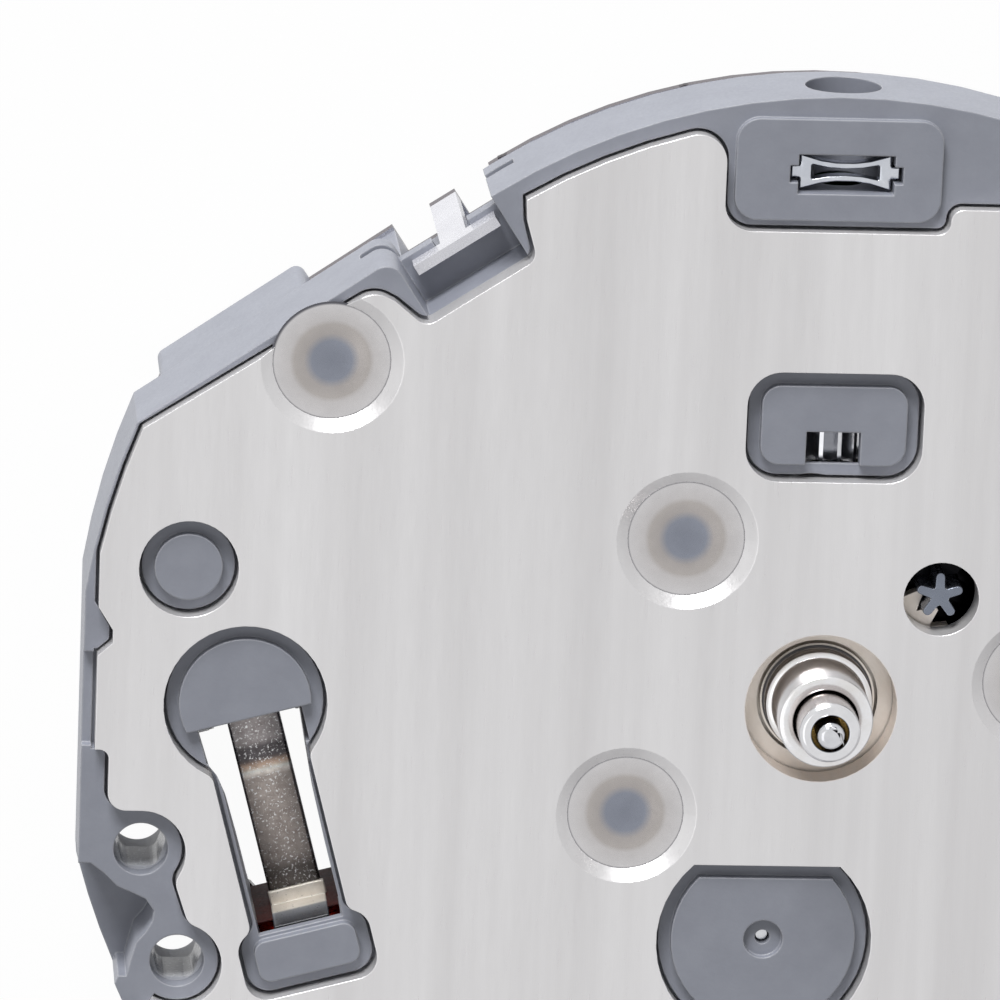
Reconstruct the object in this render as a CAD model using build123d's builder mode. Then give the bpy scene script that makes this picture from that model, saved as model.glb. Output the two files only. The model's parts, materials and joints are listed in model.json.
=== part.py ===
"""Quartz watch movement, in millimetres, dial side up.

The hands turn about the Z axis. Zero is the dial face of the main plate, +X runs to six
o'clock, +Y to three o'clock, where the stem goes in, and the back is below.
"""

import math
import os

from build123d import *

# Outline of the movement
overall_radius = 9.03
length_share = 0.99
width_share = 0.8361
half_length = overall_radius * length_share
half_width = overall_radius * width_share
height = 3.15
chamfer_far_bearing = 158.0
chamfer_near_bearing = 123.5
shoulder_near_bearing = 62.0
shoulder_far_bearing = 32.0
foot_swell_radius = 9.23
foot_swell_width = 2.10
corner_block_start = 0.30
corner_block_length = 2.12
corner_block_inset = 0.07
corner_block_corner = 0.12

# General fits
running_clearance = 0.02
press_clearance = 0.01
seat_clearance = 0.04
pocket_clearance = 0.10
end_shake = 0.05
overrun = 0.50

# Sheet and moulding thicknesses
plate_thickness = 0.40
floor_thickness = 0.49
stator_floor_thickness = 0.32
rim_drop = 0.18
rim_width = 0.16
arc_rim_width = 0.07
crown_rim_width = 0.22
pad_drop = 0.09
pad_gap = 0.04
ledge_drop = 0.22
ledge_width = 0.15
flange_depth = 1.60
lower_inset = 0.40
cover_crown_inset = 0.33
wall_thickness = 0.45
bridge_thickness = 0.30
bridge_width = 1.12
cover_thickness = 0.15
cover_gap = 0.15
board_thickness = 0.20
insulator_thickness = 0.08

# Levels of the hand and motion work
wheel_thickness = 0.18
motion_gap = 0.07
hour_top = -plate_thickness - end_shake
hour_low = hour_top - wheel_thickness
minute_top = hour_low - motion_gap
minute_low = minute_top - wheel_thickness
motion_floor = minute_low - end_shake

# Levels of the train
train_thickness = 0.13
wide_gap = 0.18
narrow_gap = 0.11
pinion_overlap = 0.03
train_ceiling = motion_floor - floor_thickness
centre_top = train_ceiling - end_shake
centre_low = centre_top - train_thickness
seconds_top = centre_low - wide_gap
seconds_low = seconds_top - train_thickness
third_top = seconds_low - narrow_gap
third_low = third_top - train_thickness
fifth_top = third_low - narrow_gap
fifth_low = fifth_top - train_thickness

# Levels of the back
cover_low = -height
cover_top = cover_low + cover_thickness
bridge_low = cover_top + cover_gap
deck = bridge_low + bridge_thickness
board_low = deck - board_thickness
flange_low = -flange_depth

# Teeth: shares of one pitch on each side of the tooth's middle, and of the module
crest_share = 0.11
gap_share = 1.65
tip_share = 0.75
root_share = 1.15
leaf_crest_share = 0.10
leaf_foot_share = 0.25

# Tooth counts and modules of the train, from the rotor to the minute hand
rotor_leaves = 6
fifth_teeth = 36
fifth_leaves = 8
seconds_teeth = 40
seconds_leaves = 8
third_teeth = 60
third_leaves = 8
centre_teeth = 64
rotor_module = 0.070
seconds_module = 0.072
third_module = 0.050

# Motion work, from the cannon pinion to the hour wheel
cannon_teeth = 20
minute_teeth = 30
minute_leaves = 5
hour_teeth = 40
setting_teeth = 15
motion_module = 0.0792

# Places on the plan, as a reach from the hand axis and a bearing
rotor_reach = 3.03
rotor_bearing = 259.35
third_bearing = 67.0
minute_bearing = 45.2
setting_bearing = 155.5
pillar_reach = 2.70
pillar_bearings = (129.6, 211.0, 7.5)
edge_pillar_reach = overall_radius - 1.645
edge_pillar_bearing = 145.3
cell_inset = 3.51
cell_reach = overall_radius - cell_inset
cell_bearing = 325.8

# Hand posts
seconds_post_radius = 0.165
seconds_post_top = 1.20
post_core_radius = 0.225
post_core_top = 0.30
minute_post_radius = 0.375
minute_post_top = 1.05
hour_post_radius = 0.575
hour_post_top = 0.56
hour_flange_radius = 0.65
hour_cone_radius = 0.74
hour_flange_drop = 0.22
centre_hole_radius = 0.925
post_chamfer = 0.05

# Arbors
arbor_radius = 0.09
pivot_radius = 0.07
pivot_length = 0.22
sink_radius = 0.24
sink_depth = 0.10
star_drop = 0.14
star_hole_radius = 0.46
motion_pivot_radius = 0.12

# Rotor, stator and coil
magnet_radius = 0.60
magnet_thickness = 0.34
rotor_room_radius = 0.85
rotor_room_ceiling = -0.57
rotor_pad_radius = 1.32
rotor_pad_flat = 0.97
rotor_tip = -0.30
stator_hole_radius = 0.72
stator_ring_radius = 1.28
stator_arm_width = 0.90
stator_thickness = 0.40
stator_notch_radius = 0.09
core_thickness = 0.40
leg_width = 0.65
leg_start = (2.135 - half_length, -0.70)
leg_bearing = -75.0
lug_length = 1.30
lug_width = 1.25
winding_start = 2.45
winding_length = 2.60
winding_radius = 0.80
far_lug_width = 0.86
far_lug_gap = 0.05
far_lug_shift = 1.05
collar_length = 0.30
collar_width = 0.74
collar_thickness = 0.56
terminal_thickness = 0.12
terminal_length = 0.80
upper_elbow = (-3.60, -2.40)
upper_end = (-5.50, 0.05)
lower_elbow = (-3.10, -4.50)

# Openings of the main plate
clutch_opening = (2.14, 1.36)
clutch_opening_y = 3.52
clutch_opening_corner = 0.42
clutch_window = (0.66, 0.42)
clutch_window_y = 3.235
clutch_roof = 0.20
stem_opening_left = 1.45
stem_opening_right = 1.27
stem_opening_y = half_width - 1.62
stem_opening_corner = 0.34
stem_pad_corner = 0.28
stem_pad_inset = 0.12
stem_pad_rim = 0.26
shoulder_y = half_width - 1.31
shoulder_right = 4.20
shoulder_corner = 0.15
crown_corner = 0.34
round_pad_place = (1.23 - half_length, 1.62)
round_pad_radius = 0.60
moon_place = (1.96 - half_length, -0.07)
moon_radius = 0.99
moon_corner = 0.16
window_length = 2.76
window_width = 1.05
window_start = -0.45
window_frame = 0.08
window_head_width = 1.28
window_head_length = 0.48
foot_pad_length = 0.90
foot_pad_width = 1.64
foot_pad_corner = 0.28
foot_pad_start = 2.62

# Notches of the main plate's left and right edges
tab_low = -0.66
tab_high = 0.52
notch_high = 1.27
notch_depth = 0.34
notch_flat = 0.16
step_depth = 0.33
step_corner = 0.12
step_turn = 0.22
tab_slot_drop = 0.14

# Seats of the pillars in the plate
pillar_head_radius = 0.46
pillar_radius = 0.38
pillar_dish_depth = 0.10
pillar_dish_radius = 0.42
pillar_dish_floor = 0.14
coin_radius = 0.70
coin_mouth_radius = 0.86
coin_depth = 0.12
edge_pillar_drop = 1.45

# Dial feet
foot_inset = 0.61
foot_reach = overall_radius - foot_inset
foot_bearings = (193.5, 203.7, 13.5, 23.7)
foot_hole_radius = 0.33
foot_bite_radius = 0.54
foot_bite_spread = 4.5
foot_waist_width = 0.56
foot_waist_corner = 0.20
foot_ring_radius = 0.55
foot_recess_depth = 0.90
foot_recess_inset = 0.53
foot_recess_near = 0.3
foot_recess_far = 1.6
foot_room_width = 0.74
foot_room_start = 0.40
foot_room_end = 0.90
foot_wall = 0.20

# Stem and keyless work
stem_drop = 0.87
stem_hole_radius = 0.46
stem_hole_depth = 0.62
stem_channel_radius = 0.30
clip_y = half_width - 0.93
clip_length = 1.10
clip_end_height = 0.42
clip_waist_height = 0.22
clip_wall = 0.07
clip_tab_length = 1.30
clip_tab_height = 0.15
clip_top = -0.24
clip_thickness = 0.18
slot_clearance = 0.03
clutch_radius = 0.50
clutch_teeth = 14
clutch_front = 2.98
clutch_tooth_length = 0.48
clutch_groove_radius = 0.31
clutch_groove_width = 0.20
clutch_flange_width = 0.12
clutch_square = 0.34
clutch_travel = 0.20
clutch_room_half_width = 0.62
lever_ceiling = -1.45
lever_thickness = 0.15
lever_gap = 0.03
lever_post_radius = 0.22
lever_eye_radius = 0.40
setting_pivot = (-1.90, 5.40)
setting_nose = (0.00, half_width - 1.75)
setting_tail = (-1.30, 4.50)
setting_width = 0.38
setting_pin_radius = 0.12
setting_pin_top = -1.12
setting_slot = (0.75, 1.10)
yoke_pivot = (2.20, 5.20)
yoke_width = 0.34
yoke_pin_radius = 0.06
yoke_pin_top = -1.26
reset_pivot = (2.75, 3.20)
reset_bearing = 20.0
reset_gap = 0.25
reset_width = 0.26
reset_tip_radius = 0.12
keyless_thickness = 0.10
keyless_width = 0.95
keyless_tip = (0.35, 3.75)
keyless_tip_width = 0.70
lever_room_low = (-2.65, 2.72)
lever_room_high = (3.20, 6.45)

# Side hooks of the back cover
hook_inset = 0.44
chamfer_hook_inset = 0.41
chamfer_hook_bearing = 129.82
bottom_hook_x = 1.60
hook_turns = (33.5, 180.0)
hook_sheet = 0.13
hook_arm_width = 0.36
hook_bar_width = 1.15
hook_bar_height = 0.30
hook_top = -0.79
hook_room_half_width = 0.70
hook_room_inner = 0.46
hook_bite_half_width = 0.78
hook_bite_middle = 0.92
hook_bite_flare = 1.09
hook_bite_mouth = 0.30
hook_bite_corner = 0.18
hook_plate_corner = 0.32
hook_mouth_corner = 0.22
hook_sill_inset = 0.30
hook_sill_thickness = 0.20
hook_under_inner = 0.30
hook_notch_clearance = 0.07

# Battery cell and its contacts
cell_radius = 2.90
cell_height = 2.10
cap_radius = 2.35
cap_height = 0.22
contact_thickness = 0.10
contact_width = 0.70
contact_riser_place = (4.25, 0.45)
clamp_thickness = 0.08
clamp_width = 0.95
clamp_foot = (1.80, 1.80 - half_width)
clamp_reach_share = 0.35
clamp_boss_radius = 0.50

# Circuit
board_inner_radius = 3.32
board_edge_y = 0.12
board_inset = 0.86
chip_place = (-4.40, 2.70)
chip_width = 1.50
chip_thickness = 0.35
crystal_place = (5.40, 2.45)
crystal_bearing = -36.0
crystal_radius = 0.70
crystal_length = 3.90
crystal_drop = 1.78
lead_width = 0.16
lead_spread = 0.36
lead_length = 0.30

# Places worked out from the sizes above
hand_axis = (0.0, 0.0)


def spot(reach, bearing, start=(0.0, 0.0)):
    """Return the point at a reach and a bearing in degrees from start."""
    turn = math.radians(bearing)
    return (start[0] + reach * math.cos(turn), start[1] + reach * math.sin(turn))


def bearing_to(start, end):
    """Return the bearing of end from start, in degrees."""
    return math.degrees(math.atan2(end[1] - start[1], end[0] - start[0]))


def third_corner(first, second, first_reach, second_reach):
    """Return the corner to the right of first to second, at the two reaches from them."""
    base = math.dist(first, second)
    along = (first_reach ** 2 - second_reach ** 2 + base ** 2) / (2 * base)
    aside = math.sqrt(first_reach ** 2 - along ** 2)
    bearing = bearing_to(first, second)
    return spot(aside, bearing + 90, spot(along, bearing, first))


def mesh_turn(place, teeth, turn, next_place, next_teeth):
    """Return the turn at which the next wheel's gap meets this wheel's tooth."""
    line = bearing_to(place, next_place)
    return line + 180 + ((line - turn) * teeth + 180) / next_teeth


rotor_place = spot(rotor_reach, rotor_bearing)
seconds_spacing = seconds_module * (seconds_teeth + fifth_leaves) / 2
fifth_spacing = rotor_module * (fifth_teeth + rotor_leaves) / 2
fifth_place = third_corner(hand_axis, rotor_place, seconds_spacing, fifth_spacing)
third_spacing = third_module * (third_teeth + seconds_leaves) / 2
third_place = spot(third_spacing, third_bearing)
centre_module = 2 * third_spacing / (centre_teeth + third_leaves)
minute_spacing = motion_module * (cannon_teeth + minute_teeth) / 2
minute_place = spot(minute_spacing, minute_bearing)
hour_module = 2 * minute_spacing / (minute_leaves + hour_teeth)
setting_spacing = motion_module * (minute_teeth + setting_teeth) / 2
setting_place = spot(setting_spacing, setting_bearing, minute_place)
cell_place = spot(cell_reach, cell_bearing)
pillar_places = [spot(pillar_reach, bearing) for bearing in pillar_bearings]
edge_pillar_place = spot(edge_pillar_reach, edge_pillar_bearing)
foot_places = [spot(foot_reach, bearing) for bearing in foot_bearings]
foot_pairs = ((foot_places[0], foot_places[1], -1), (foot_places[2], foot_places[3], 1))
chamfer_start = spot(half_width, chamfer_near_bearing)
chamfer_end = spot(overall_radius, chamfer_far_bearing)
chamfer_bearing = bearing_to(chamfer_end, chamfer_start)
hook_places = (
    spot(half_width - chamfer_hook_inset, chamfer_hook_bearing),
    (bottom_hook_x, hook_inset - half_width),
)
lug_place = spot(-lug_length / 2, leg_bearing, leg_start)
leg_length = winding_start + winding_length + far_lug_gap + far_lug_width / 2
far_lug_place = spot(leg_length, leg_bearing, leg_start)
far_post_place = spot(far_lug_shift, leg_bearing + 90, far_lug_place)
clutch_spacing = clutch_front + clutch_tooth_length
groove_y = clutch_spacing + clutch_groove_width / 2
yoke_nose = (hand_axis[0], groove_y)
stator_top = motion_floor - stator_floor_thickness
stator_low = stator_top - stator_thickness
core_top = stator_low
core_low = core_top - core_thickness
coil_level = (core_top + core_low) / 2
cell_low = cover_top
cell_top = cell_low + cell_height
cell_room_ceiling = cell_top + contact_thickness
lever_top = lever_ceiling - lever_gap
lever_low = lever_top - lever_thickness
keyless_top = lever_low - lever_gap
keyless_low = keyless_top - keyless_thickness
reset_top = seconds_top
reset_low = reset_top - train_thickness
seconds_tip_radius = seconds_module * (seconds_teeth / 2 + tip_share)
reset_tip = spot(seconds_tip_radius + reset_gap + reset_tip_radius, reset_bearing)
setting_low = lever_ceiling + (motion_floor - train_ceiling) / 2
hook_floor = hook_top - hook_bar_height
hook_sill_low = hook_floor - hook_sill_thickness

# Turns of the wheels, so that every pair is in mesh
seconds_turn = 0.0
cannon_turn = 0.0
fifth_pinion_turn = mesh_turn(hand_axis, seconds_teeth, seconds_turn, fifth_place, fifth_leaves)
fifth_turn = fifth_pinion_turn
rotor_turn = mesh_turn(fifth_place, fifth_teeth, fifth_turn, rotor_place, rotor_leaves)
third_turn = mesh_turn(hand_axis, seconds_leaves, seconds_turn, third_place, third_teeth)
third_pinion_turn = third_turn
centre_turn = mesh_turn(third_place, third_leaves, third_pinion_turn, hand_axis, centre_teeth)
star_turn = 90.0
minute_turn = mesh_turn(hand_axis, cannon_teeth, cannon_turn, minute_place, minute_teeth)
hour_turn = mesh_turn(minute_place, minute_leaves, star_turn, hand_axis, hour_teeth)
setting_turn = mesh_turn(minute_place, minute_teeth, minute_turn, setting_place, setting_teeth)


# Drawing helpers: each draws in the sketch that is open
def tooth_points(teeth, module, turn, depth, corners):
    """List the corners of a toothed rim about the origin, from each tooth's shape."""
    step = 360 / teeth
    points = []
    for tooth in range(teeth):
        for level, share in corners:
            reach = module * (teeth / 2 + (tip_share if level else -depth))
            points.append(spot(reach, turn + (tooth + share) * step))
    return points


def draw_rim(place, teeth, module, turn):
    """Draw a toothed wheel, its gaps cut to a point."""
    corners = ((0, -1 / 2), (1, -crest_share), (1, crest_share))
    with Locations(place):
        Polygon(*tooth_points(teeth, module, turn, gap_share, corners), align=None)


def draw_leaves(place, teeth, module, turn):
    """Draw a pinion."""
    corners = (
        (0, -leaf_foot_share),
        (1, -leaf_crest_share),
        (1, leaf_crest_share),
        (0, leaf_foot_share),
    )
    with Locations(place):
        Polygon(*tooth_points(teeth, module, turn, root_share, corners), align=None)


def draw_disc(place, radius, mode=Mode.ADD):
    """Draw a disc."""
    with Locations(place):
        Circle(radius, mode=mode)


def draw_bar(start, end, width, mode=Mode.ADD):
    """Draw a bar with round ends, centred on start and end."""
    middle = ((start[0] + end[0]) / 2, (start[1] + end[1]) / 2, 0)
    with Locations(Location(middle, (0, 0, bearing_to(start, end)))):
        SlotCenterToCenter(math.dist(start, end), width, mode=mode)


def draw_block(place, length, width, turn=0.0, corner=0.0, mode=Mode.ADD):
    """Draw a rectangle with its length along turn."""
    with Locations(Location((place[0], place[1], 0), (0, 0, turn))):
        if corner > 0:
            RectangleRounded(length, width, corner, mode=mode)
        else:
            Rectangle(length, width, mode=mode)


def draw_outline(inset, crown_inset=None, arc_inset=None):
    """Draw the movement's outline, drawn in by inset."""
    crown = half_width - (inset if crown_inset is None else crown_inset)
    radius = overall_radius - (inset if arc_inset is None else arc_inset)
    side = half_length - inset
    bottom = half_width - inset
    side_rise = math.sqrt(radius ** 2 - side ** 2)
    bottom_run = math.sqrt(radius ** 2 - bottom ** 2)
    low_bearing = bearing_to(hand_axis, (side, -side_rise))
    bottom_bearing = bearing_to(hand_axis, (bottom_run, -bottom))
    upper_bearing = bearing_to(hand_axis, (-side, side_rise))
    far_shoulder = spot(radius, shoulder_far_bearing)
    far_chamfer = spot(radius, chamfer_far_bearing)
    with BuildLine() as edge:
        ThreePointArc(
            spot(crown, shoulder_near_bearing), spot(crown, 90), spot(crown, chamfer_near_bearing)
        )
        Line(spot(crown, chamfer_near_bearing), far_chamfer)
        middle = (chamfer_far_bearing + upper_bearing) / 2
        ThreePointArc(far_chamfer, spot(radius, middle), (-side, side_rise))
        Line((-side, side_rise), (-side, -side_rise))
        middle = 180 - (low_bearing + bottom_bearing) / 2
        ThreePointArc((-side, -side_rise), spot(radius, middle), (-bottom_run, -bottom))
        Line((-bottom_run, -bottom), (bottom_run, -bottom))
        middle = (low_bearing + bottom_bearing) / 2
        ThreePointArc((bottom_run, -bottom), spot(radius, middle), (side, -side_rise))
        Line((side, -side_rise), (side, side_rise))
        middle = (shoulder_far_bearing - low_bearing) / 2
        ThreePointArc((side, side_rise), spot(radius, middle), far_shoulder)
        Line(far_shoulder, spot(crown, shoulder_near_bearing))
    make_face(edge.edges())


def draw_hook_bite(place, turn, grow):
    """Draw the flared bite that the main plate leaves round a side hook."""
    half = hook_bite_half_width + grow
    middle = hook_bite_middle + grow
    flare = hook_bite_flare + grow
    inner = hook_room_inner + grow
    reach = hook_bite_mouth + overrun
    with BuildSketch(Plane.XY) as bite:
        Polygon(
            (-half, -inner),
            (half, -inner),
            (middle, 0),
            (flare, hook_bite_mouth),
            (flare, reach),
            (-flare, reach),
            (-flare, hook_bite_mouth),
            (-middle, 0),
            align=None,
        )
        fillet(bite.vertices().group_by(Axis.Y)[0], hook_bite_corner)
    with Locations(Location((place[0], place[1], 0), (0, 0, turn))):
        add(bite.sketch, mode=Mode.SUBTRACT)


def draw_hook_room(place, turn, inner, half, mode=Mode.SUBTRACT):
    """Draw the room of a side hook, from inner behind it to outside the outline."""
    depth = inner + overrun
    draw_block(spot(depth / 2 - inner, turn + 90, place), 2 * half, depth, turn, mode=mode)


def draw_foot_bites(grow):
    """Take the dial-foot circles, and what lies outside them, from the sketch."""
    outer = overall_radius + overrun
    for near, far, side in foot_pairs:
        draw_disc(near, foot_bite_radius + grow, Mode.SUBTRACT)
        draw_disc(far, foot_bite_radius + grow, Mode.SUBTRACT)
        draw_bar(near, far, foot_waist_width + 2 * grow, Mode.SUBTRACT)
        Polygon(
            near,
            far,
            spot(outer, bearing_to(hand_axis, far) + foot_bite_spread),
            (side * outer, near[1]),
            align=None,
            mode=Mode.SUBTRACT,
        )
        for inner, start in (
            (half_length - step_depth - grow, abs(tab_low) - grow),
            (abs(near[0]), abs(near[1]) - foot_bite_radius - grow),
        ):
            draw_block(
                (side * (inner + outer) / 2, side * (start + abs(near[1])) / 2),
                outer - inner,
                abs(near[1]) - start,
                mode=Mode.SUBTRACT,
            )


def draw_tab_notches(grow):
    """Take the notch beside each of the plate's edge tabs from the sketch."""
    outer = half_length + overrun
    tab = half_length - rim_width
    inner = half_length - notch_depth - grow
    for near, far, side in foot_pairs:
        Polygon(
            (side * outer, -side * (tab_high - grow)),
            (side * tab, -side * (tab_high - grow)),
            (side * inner, -side * (tab_high + notch_flat)),
            (side * inner, -side * (tab_high + 2 * notch_flat)),
            (side * (half_length - arc_rim_width), -side * (notch_high + grow)),
            (side * outer, -side * (notch_high + grow)),
            align=None,
            mode=Mode.SUBTRACT,
        )


def draw_crown_bite(grow):
    """Take the stem pad and the shoulder beside it from the sketch."""
    top = half_width + overrun
    left = -stem_opening_left - grow
    right = stem_opening_right + grow
    low = stem_opening_y - grow
    draw_block(
        ((left + right) / 2, (low + top) / 2), right - left, top - low, mode=Mode.SUBTRACT
    )
    low = shoulder_y - grow
    draw_block(
        (shoulder_right / 2, (low + top) / 2), shoulder_right, top - low, mode=Mode.SUBTRACT
    )


def round_corner(sheet, place, radius):
    """Round the sketch's corner nearest to a place."""
    fillet(sheet.vertices().sort_by_distance(Vector(place[0], place[1], 0))[0], radius)


def draw_plate_edge(grow):
    """Draw the main plate's outer outline, grown for its seat."""
    with BuildSketch(Plane.XY) as sheet:
        draw_outline(rim_width - grow, crown_rim_width - grow, arc_rim_width - grow)
        for place, turn in zip(hook_places, hook_turns):
            draw_hook_bite(place, turn, -grow)
        draw_foot_bites(-grow)
        draw_tab_notches(-grow)
        draw_crown_bite(-grow)
        crown_reach = half_width - crown_rim_width
        crown_place = (-stem_opening_left, math.sqrt(crown_reach ** 2 - stem_opening_left ** 2))
        round_corner(sheet, crown_place, crown_corner + grow)
        round_corner(sheet, (-stem_opening_left, stem_opening_y), stem_opening_corner - grow)
        round_corner(sheet, (stem_opening_right, stem_opening_y), shoulder_corner - grow)
        round_corner(sheet, (stem_opening_right, shoulder_y), shoulder_corner + grow)
        bite_side = spot(hook_bite_flare, hook_turns[0] + 180, hook_places[0])
        bite_mouth = spot(hook_bite_mouth, hook_turns[0] + 90, bite_side)
        round_corner(sheet, bite_mouth, hook_plate_corner + grow)
        for near, far, side in foot_pairs:
            step = half_length - step_depth
            round_corner(sheet, (side * step, -side * tab_low), step_corner - grow)
            step_low = abs(near[1]) - foot_bite_radius
            round_corner(sheet, (side * step, side * step_low), step_turn + grow)
            line = bearing_to(near, far)
            along = math.sqrt(foot_bite_radius ** 2 - foot_waist_width ** 2 / 4)
            for place, turn in ((near, line), (far, line + 180)):
                waist_side = spot(foot_waist_width / 2, line + 90, place)
                round_corner(sheet, spot(along, turn, waist_side), foot_waist_corner + grow)
    add(sheet.sketch)


def draw_leg_pad(inset):
    """Draw the pad over the coil's leg: half-moon, neck and foot, drawn in by inset."""
    with BuildSketch(Plane.XY) as pad:
        draw_disc(moon_place, moon_radius - inset)
        draw_block(
            spot(window_start + window_length / 2, leg_bearing, leg_start),
            window_length,
            window_width + 2 * window_frame - 2 * inset,
            leg_bearing,
        )
        draw_block(
            spot(foot_pad_start, leg_bearing, leg_start),
            foot_pad_length - 2 * inset,
            foot_pad_width - 2 * inset,
            leg_bearing,
            foot_pad_corner,
        )
        for side in (-1, 1):
            neck_side = window_width / 2 + window_frame - inset
            neck_edge = spot(side * neck_side, leg_bearing + 90, leg_start)
            round_corner(pad, neck_edge, moon_corner)
            foot_edge = foot_pad_start - foot_pad_length / 2 + inset
            round_corner(pad, spot(foot_edge, leg_bearing, neck_edge), moon_corner)
    add(pad.sketch)


def draw_rotor_pad(inset):
    """Draw the D-shaped pad over the rotor, drawn in by inset."""
    with BuildSketch(Plane.XY) as pad:
        draw_disc(rotor_place, rotor_pad_radius - inset)
        flat = rotor_place[1] + rotor_pad_flat - inset
        draw_block(
            (rotor_place[0], flat + rotor_pad_radius),
            4 * rotor_pad_radius,
            2 * rotor_pad_radius,
            mode=Mode.SUBTRACT,
        )
    add(pad.sketch)


def draw_clutch_pad(inset):
    """Draw the pad over the clutch, drawn in by inset."""
    draw_block(
        (0, clutch_opening_y),
        clutch_opening[0] - 2 * inset,
        clutch_opening[1] - 2 * inset,
        corner=clutch_opening_corner - inset,
    )


def draw_pads(inset):
    """Draw the openings of the plate that pads fill, drawn in by inset."""
    draw_clutch_pad(inset)
    draw_disc(round_pad_place, round_pad_radius - inset)
    draw_leg_pad(inset)
    draw_rotor_pad(inset)


def draw_raised_pads():
    """Draw the raised middles of the pads, inside their ledges."""
    inset = pad_gap + ledge_width
    draw_clutch_pad(inset)
    draw_disc(round_pad_place, round_pad_radius - inset)
    draw_rotor_pad(inset)
    draw_block(
        spot(foot_pad_start, leg_bearing, leg_start),
        foot_pad_length - 2 * inset,
        foot_pad_width - 2 * inset,
        leg_bearing,
        ledge_width,
    )
    with BuildSketch(Plane.XY) as half_moon:
        draw_disc(moon_place, moon_radius - inset)
        draw_block(
            spot(window_start + moon_radius, leg_bearing, leg_start),
            2 * moon_radius,
            2 * moon_radius,
            leg_bearing,
            mode=Mode.SUBTRACT,
        )
    add(half_moon.sketch)


def draw_foot_swell():
    """Draw the swelling of the outline round each pair of dial feet."""
    draw_disc(hand_axis, foot_swell_radius)
    with BuildSketch(Plane.XY) as limits:
        for near, far, side in foot_pairs:
            draw_bar(near, far, foot_swell_width)
    add(limits.sketch, mode=Mode.INTERSECT)
    draw_block(hand_axis, 2 * half_length, 2 * half_width, mode=Mode.INTERSECT)


def draw_foot_rooms(grow=0.0, mode=Mode.ADD):
    """Draw the rooms that open below the dial feet."""
    for near, far, side in foot_pairs:
        bearing = bearing_to(near, far)
        length = math.dist(near, far) + foot_room_start + foot_room_end
        middle = spot(length / 2 - foot_room_start, bearing, near)
        width = foot_room_width + 2 * grow
        draw_block(middle, length + 2 * grow, width, bearing, mode=mode)


def draw_foot_walls():
    """Draw the foot rooms with the walls round them, within the lower outline."""
    draw_outline(lower_inset)
    with BuildSketch(Plane.XY) as rooms:
        draw_foot_rooms(foot_wall)
    add(rooms.sketch, mode=Mode.INTERSECT)


def draw_foot_recess():
    """Draw the recess in the rim between the feet of each pair."""
    outer = overall_radius + overrun
    for near, far, side in foot_pairs:
        near_bearing = bearing_to(hand_axis, near)
        far_bearing = bearing_to(hand_axis, far)
        with BuildSketch(Plane.XY) as recess:
            Polygon(
                spot(outer, near_bearing + foot_recess_near),
                spot(overall_radius - foot_recess_inset, (near_bearing + far_bearing) / 2),
                spot(outer, far_bearing + foot_recess_far),
                align=None,
            )
            draw_disc(near, foot_ring_radius, Mode.SUBTRACT)
            draw_disc(far, foot_ring_radius, Mode.SUBTRACT)
        add(recess.sketch)


def draw_stator(grow):
    """Draw the stator: a ring round the rotor and two arms to the coil's lugs."""
    width = stator_arm_width + 2 * grow
    draw_disc(rotor_place, stator_ring_radius + grow)
    draw_bar(rotor_place, upper_elbow, width)
    draw_bar(upper_elbow, upper_end, width)
    draw_bar(upper_end, lug_place, width)
    draw_bar(rotor_place, lower_elbow, width)
    draw_bar(lower_elbow, far_post_place, width)


def draw_core(grow):
    """Draw the coil's core: a straight leg with a wide lug at each end."""
    middle = spot(leg_length / 2, leg_bearing, leg_start)
    draw_block(middle, leg_length, leg_width + 2 * grow, leg_bearing)
    draw_block(lug_place, lug_length + 2 * grow, lug_width + 2 * grow, leg_bearing, foot_pad_corner)
    draw_bar(far_lug_place, far_post_place, far_lug_width + 2 * grow)


def draw_bridge():
    """Draw the train bridge over the three pillars and the train's pivots."""
    for first, second in ((0, 1), (1, 2), (2, 0)):
        draw_bar(pillar_places[first], pillar_places[second], bridge_width)
    for place in (rotor_place, fifth_place, third_place):
        draw_bar(hand_axis, place, bridge_width)


# Solid helpers: each works on the part that is open
def raise_shape(draw, low, high, mode=Mode.ADD):
    """Extrude what draw draws, from low up to high."""
    with BuildSketch(Plane.XY.offset(low)) as flat:
        draw()
    extrude(flat.sketch, amount=high - low, mode=mode)


def post(place, radius, low, high, mode=Mode.ADD):
    """Make or cut a round post."""
    raise_shape(lambda: draw_disc(place, radius), low, high, mode)


def cone(place, low_radius, high_radius, low, high, mode=Mode.ADD):
    """Make or cut a round post that widens or narrows upwards."""
    slope = math.degrees(math.atan2(high_radius - low_radius, high - low))
    with BuildSketch(Plane.XY.offset(low)) as flat:
        draw_disc(place, low_radius)
    extrude(flat.sketch, amount=high - low, taper=-slope, mode=mode)


def bore(place, radius, low, high):
    """Cut a round hole."""
    post(place, radius, low, high, Mode.SUBTRACT)


def along_stem(start, end, draw, mode=Mode.ADD):
    """Extrude what draw draws about the stem's axis, from start to end along it."""
    face = Plane(origin=(0, start, -stem_drop), x_dir=(1, 0, 0), z_dir=(0, -1, 0))
    with BuildSketch(face) as flat:
        draw()
    extrude(flat.sketch, amount=start - end, mode=mode)


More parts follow.
